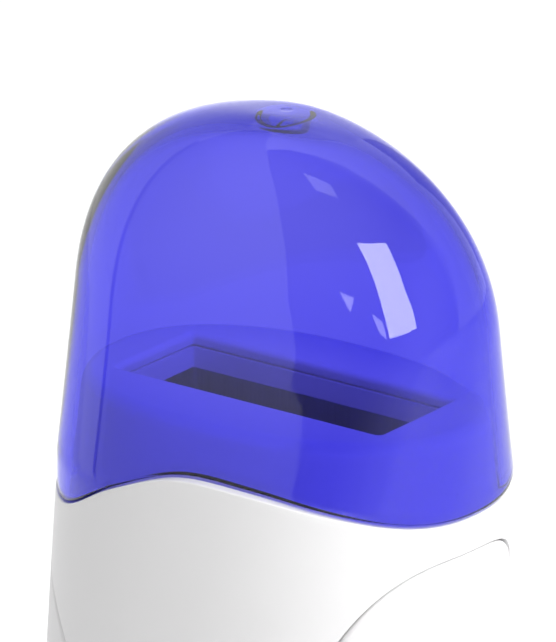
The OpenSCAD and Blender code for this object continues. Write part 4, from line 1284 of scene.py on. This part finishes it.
class WAXHEATER_OT_stage(Operator):
    """Make the pale floor, soft studio light and camera"""

    bl_idname = "wax_heater.stage"
    bl_label = "Stage"

    def execute(self, context):
        context.scene.view_settings.view_transform = "Standard"
        studio_world()
        corners = [[x * FLOOR_HALF, y * FLOOR_HALF, 0] for x, y in ((-1, -1), (1, -1), (1, 1), (-1, 1))]
        floor = add_mesh("floor", corners, [[0, 1, 2, 3]])
        pale = plastic("Pale floor", tuple(colours().floor), 0.6, grain=300, depth=0.0, glow=FLOOR_GLOW)
        floor.data.materials.append(pale)
        light_card("front window", WINDOW, WINDOW_GLOW)
        for name, (corners, glow) in PANES.items():
            light_card(name, corners, glow)
        for name, (edge, glow) in WALLS.items():
            count = len(edge)
            low = [around(turn, bottom, WALL_DISTANCE) for turn, bottom, _ in edge]
            high = [around(turn, top, WALL_DISTANCE) for turn, _, top in edge]
            strips = [[i, i + 1, count + i + 1, count + i] for i in range(count - 1)]
            light_card(name, low + high, glow, strips)
        light_card("upper card", UPPER_CARD, UPPER_GLOW)
        for name, (azimuth, elevation, power) in LAMPS.items():
            soft_lamp(name, around(azimuth, elevation, LAMP_DISTANCE), power)
        add_camera()
        return {"FINISHED"}


class WAXHEATER_PT_sidebar(Panel):
    """Lists the pieces and their sizes"""

    bl_idname = "WAXHEATER_PT_sidebar"
    bl_label = "Wax Heater"
    bl_space_type = "VIEW_3D"
    bl_region_type = "UI"
    bl_category = "Wax Heater"

    def draw(self, context):
        for step in STEPS:
            self.layout.operator(step.bl_idname)
        for group in (context.scene.wax_heater_sizes, context.scene.wax_heater_colours):
            box = self.layout.box()
            for name in group.__annotations__:
                box.prop(group, name)


STEPS = (
    WAXHEATER_OT_stage,
    WAXHEATER_OT_body,
    WAXHEATER_OT_panels,
    WAXHEATER_OT_deck,
    WAXHEATER_OT_cap,
    WAXHEATER_OT_controls,
    WAXHEATER_OT_nodes,
)
CLASSES = (WaxHeaterSizes, WaxHeaterColours, *STEPS, WAXHEATER_PT_sidebar)


def register():
    for cls in CLASSES:
        bpy.utils.register_class(cls)
    bpy.types.Scene.wax_heater_sizes = PointerProperty(type=WaxHeaterSizes)
    bpy.types.Scene.wax_heater_colours = PointerProperty(type=WaxHeaterColours)


def unregister():
    del bpy.types.Scene.wax_heater_colours
    del bpy.types.Scene.wax_heater_sizes
    for cls in reversed(CLASSES):
        bpy.utils.unregister_class(cls)


def main():
    """Make everything in order."""
    register()
    for step in STEPS:
        group, name = step.bl_idname.split(".")
        getattr(getattr(bpy.ops, group), name)()


if __name__ == "__main__":
    main()
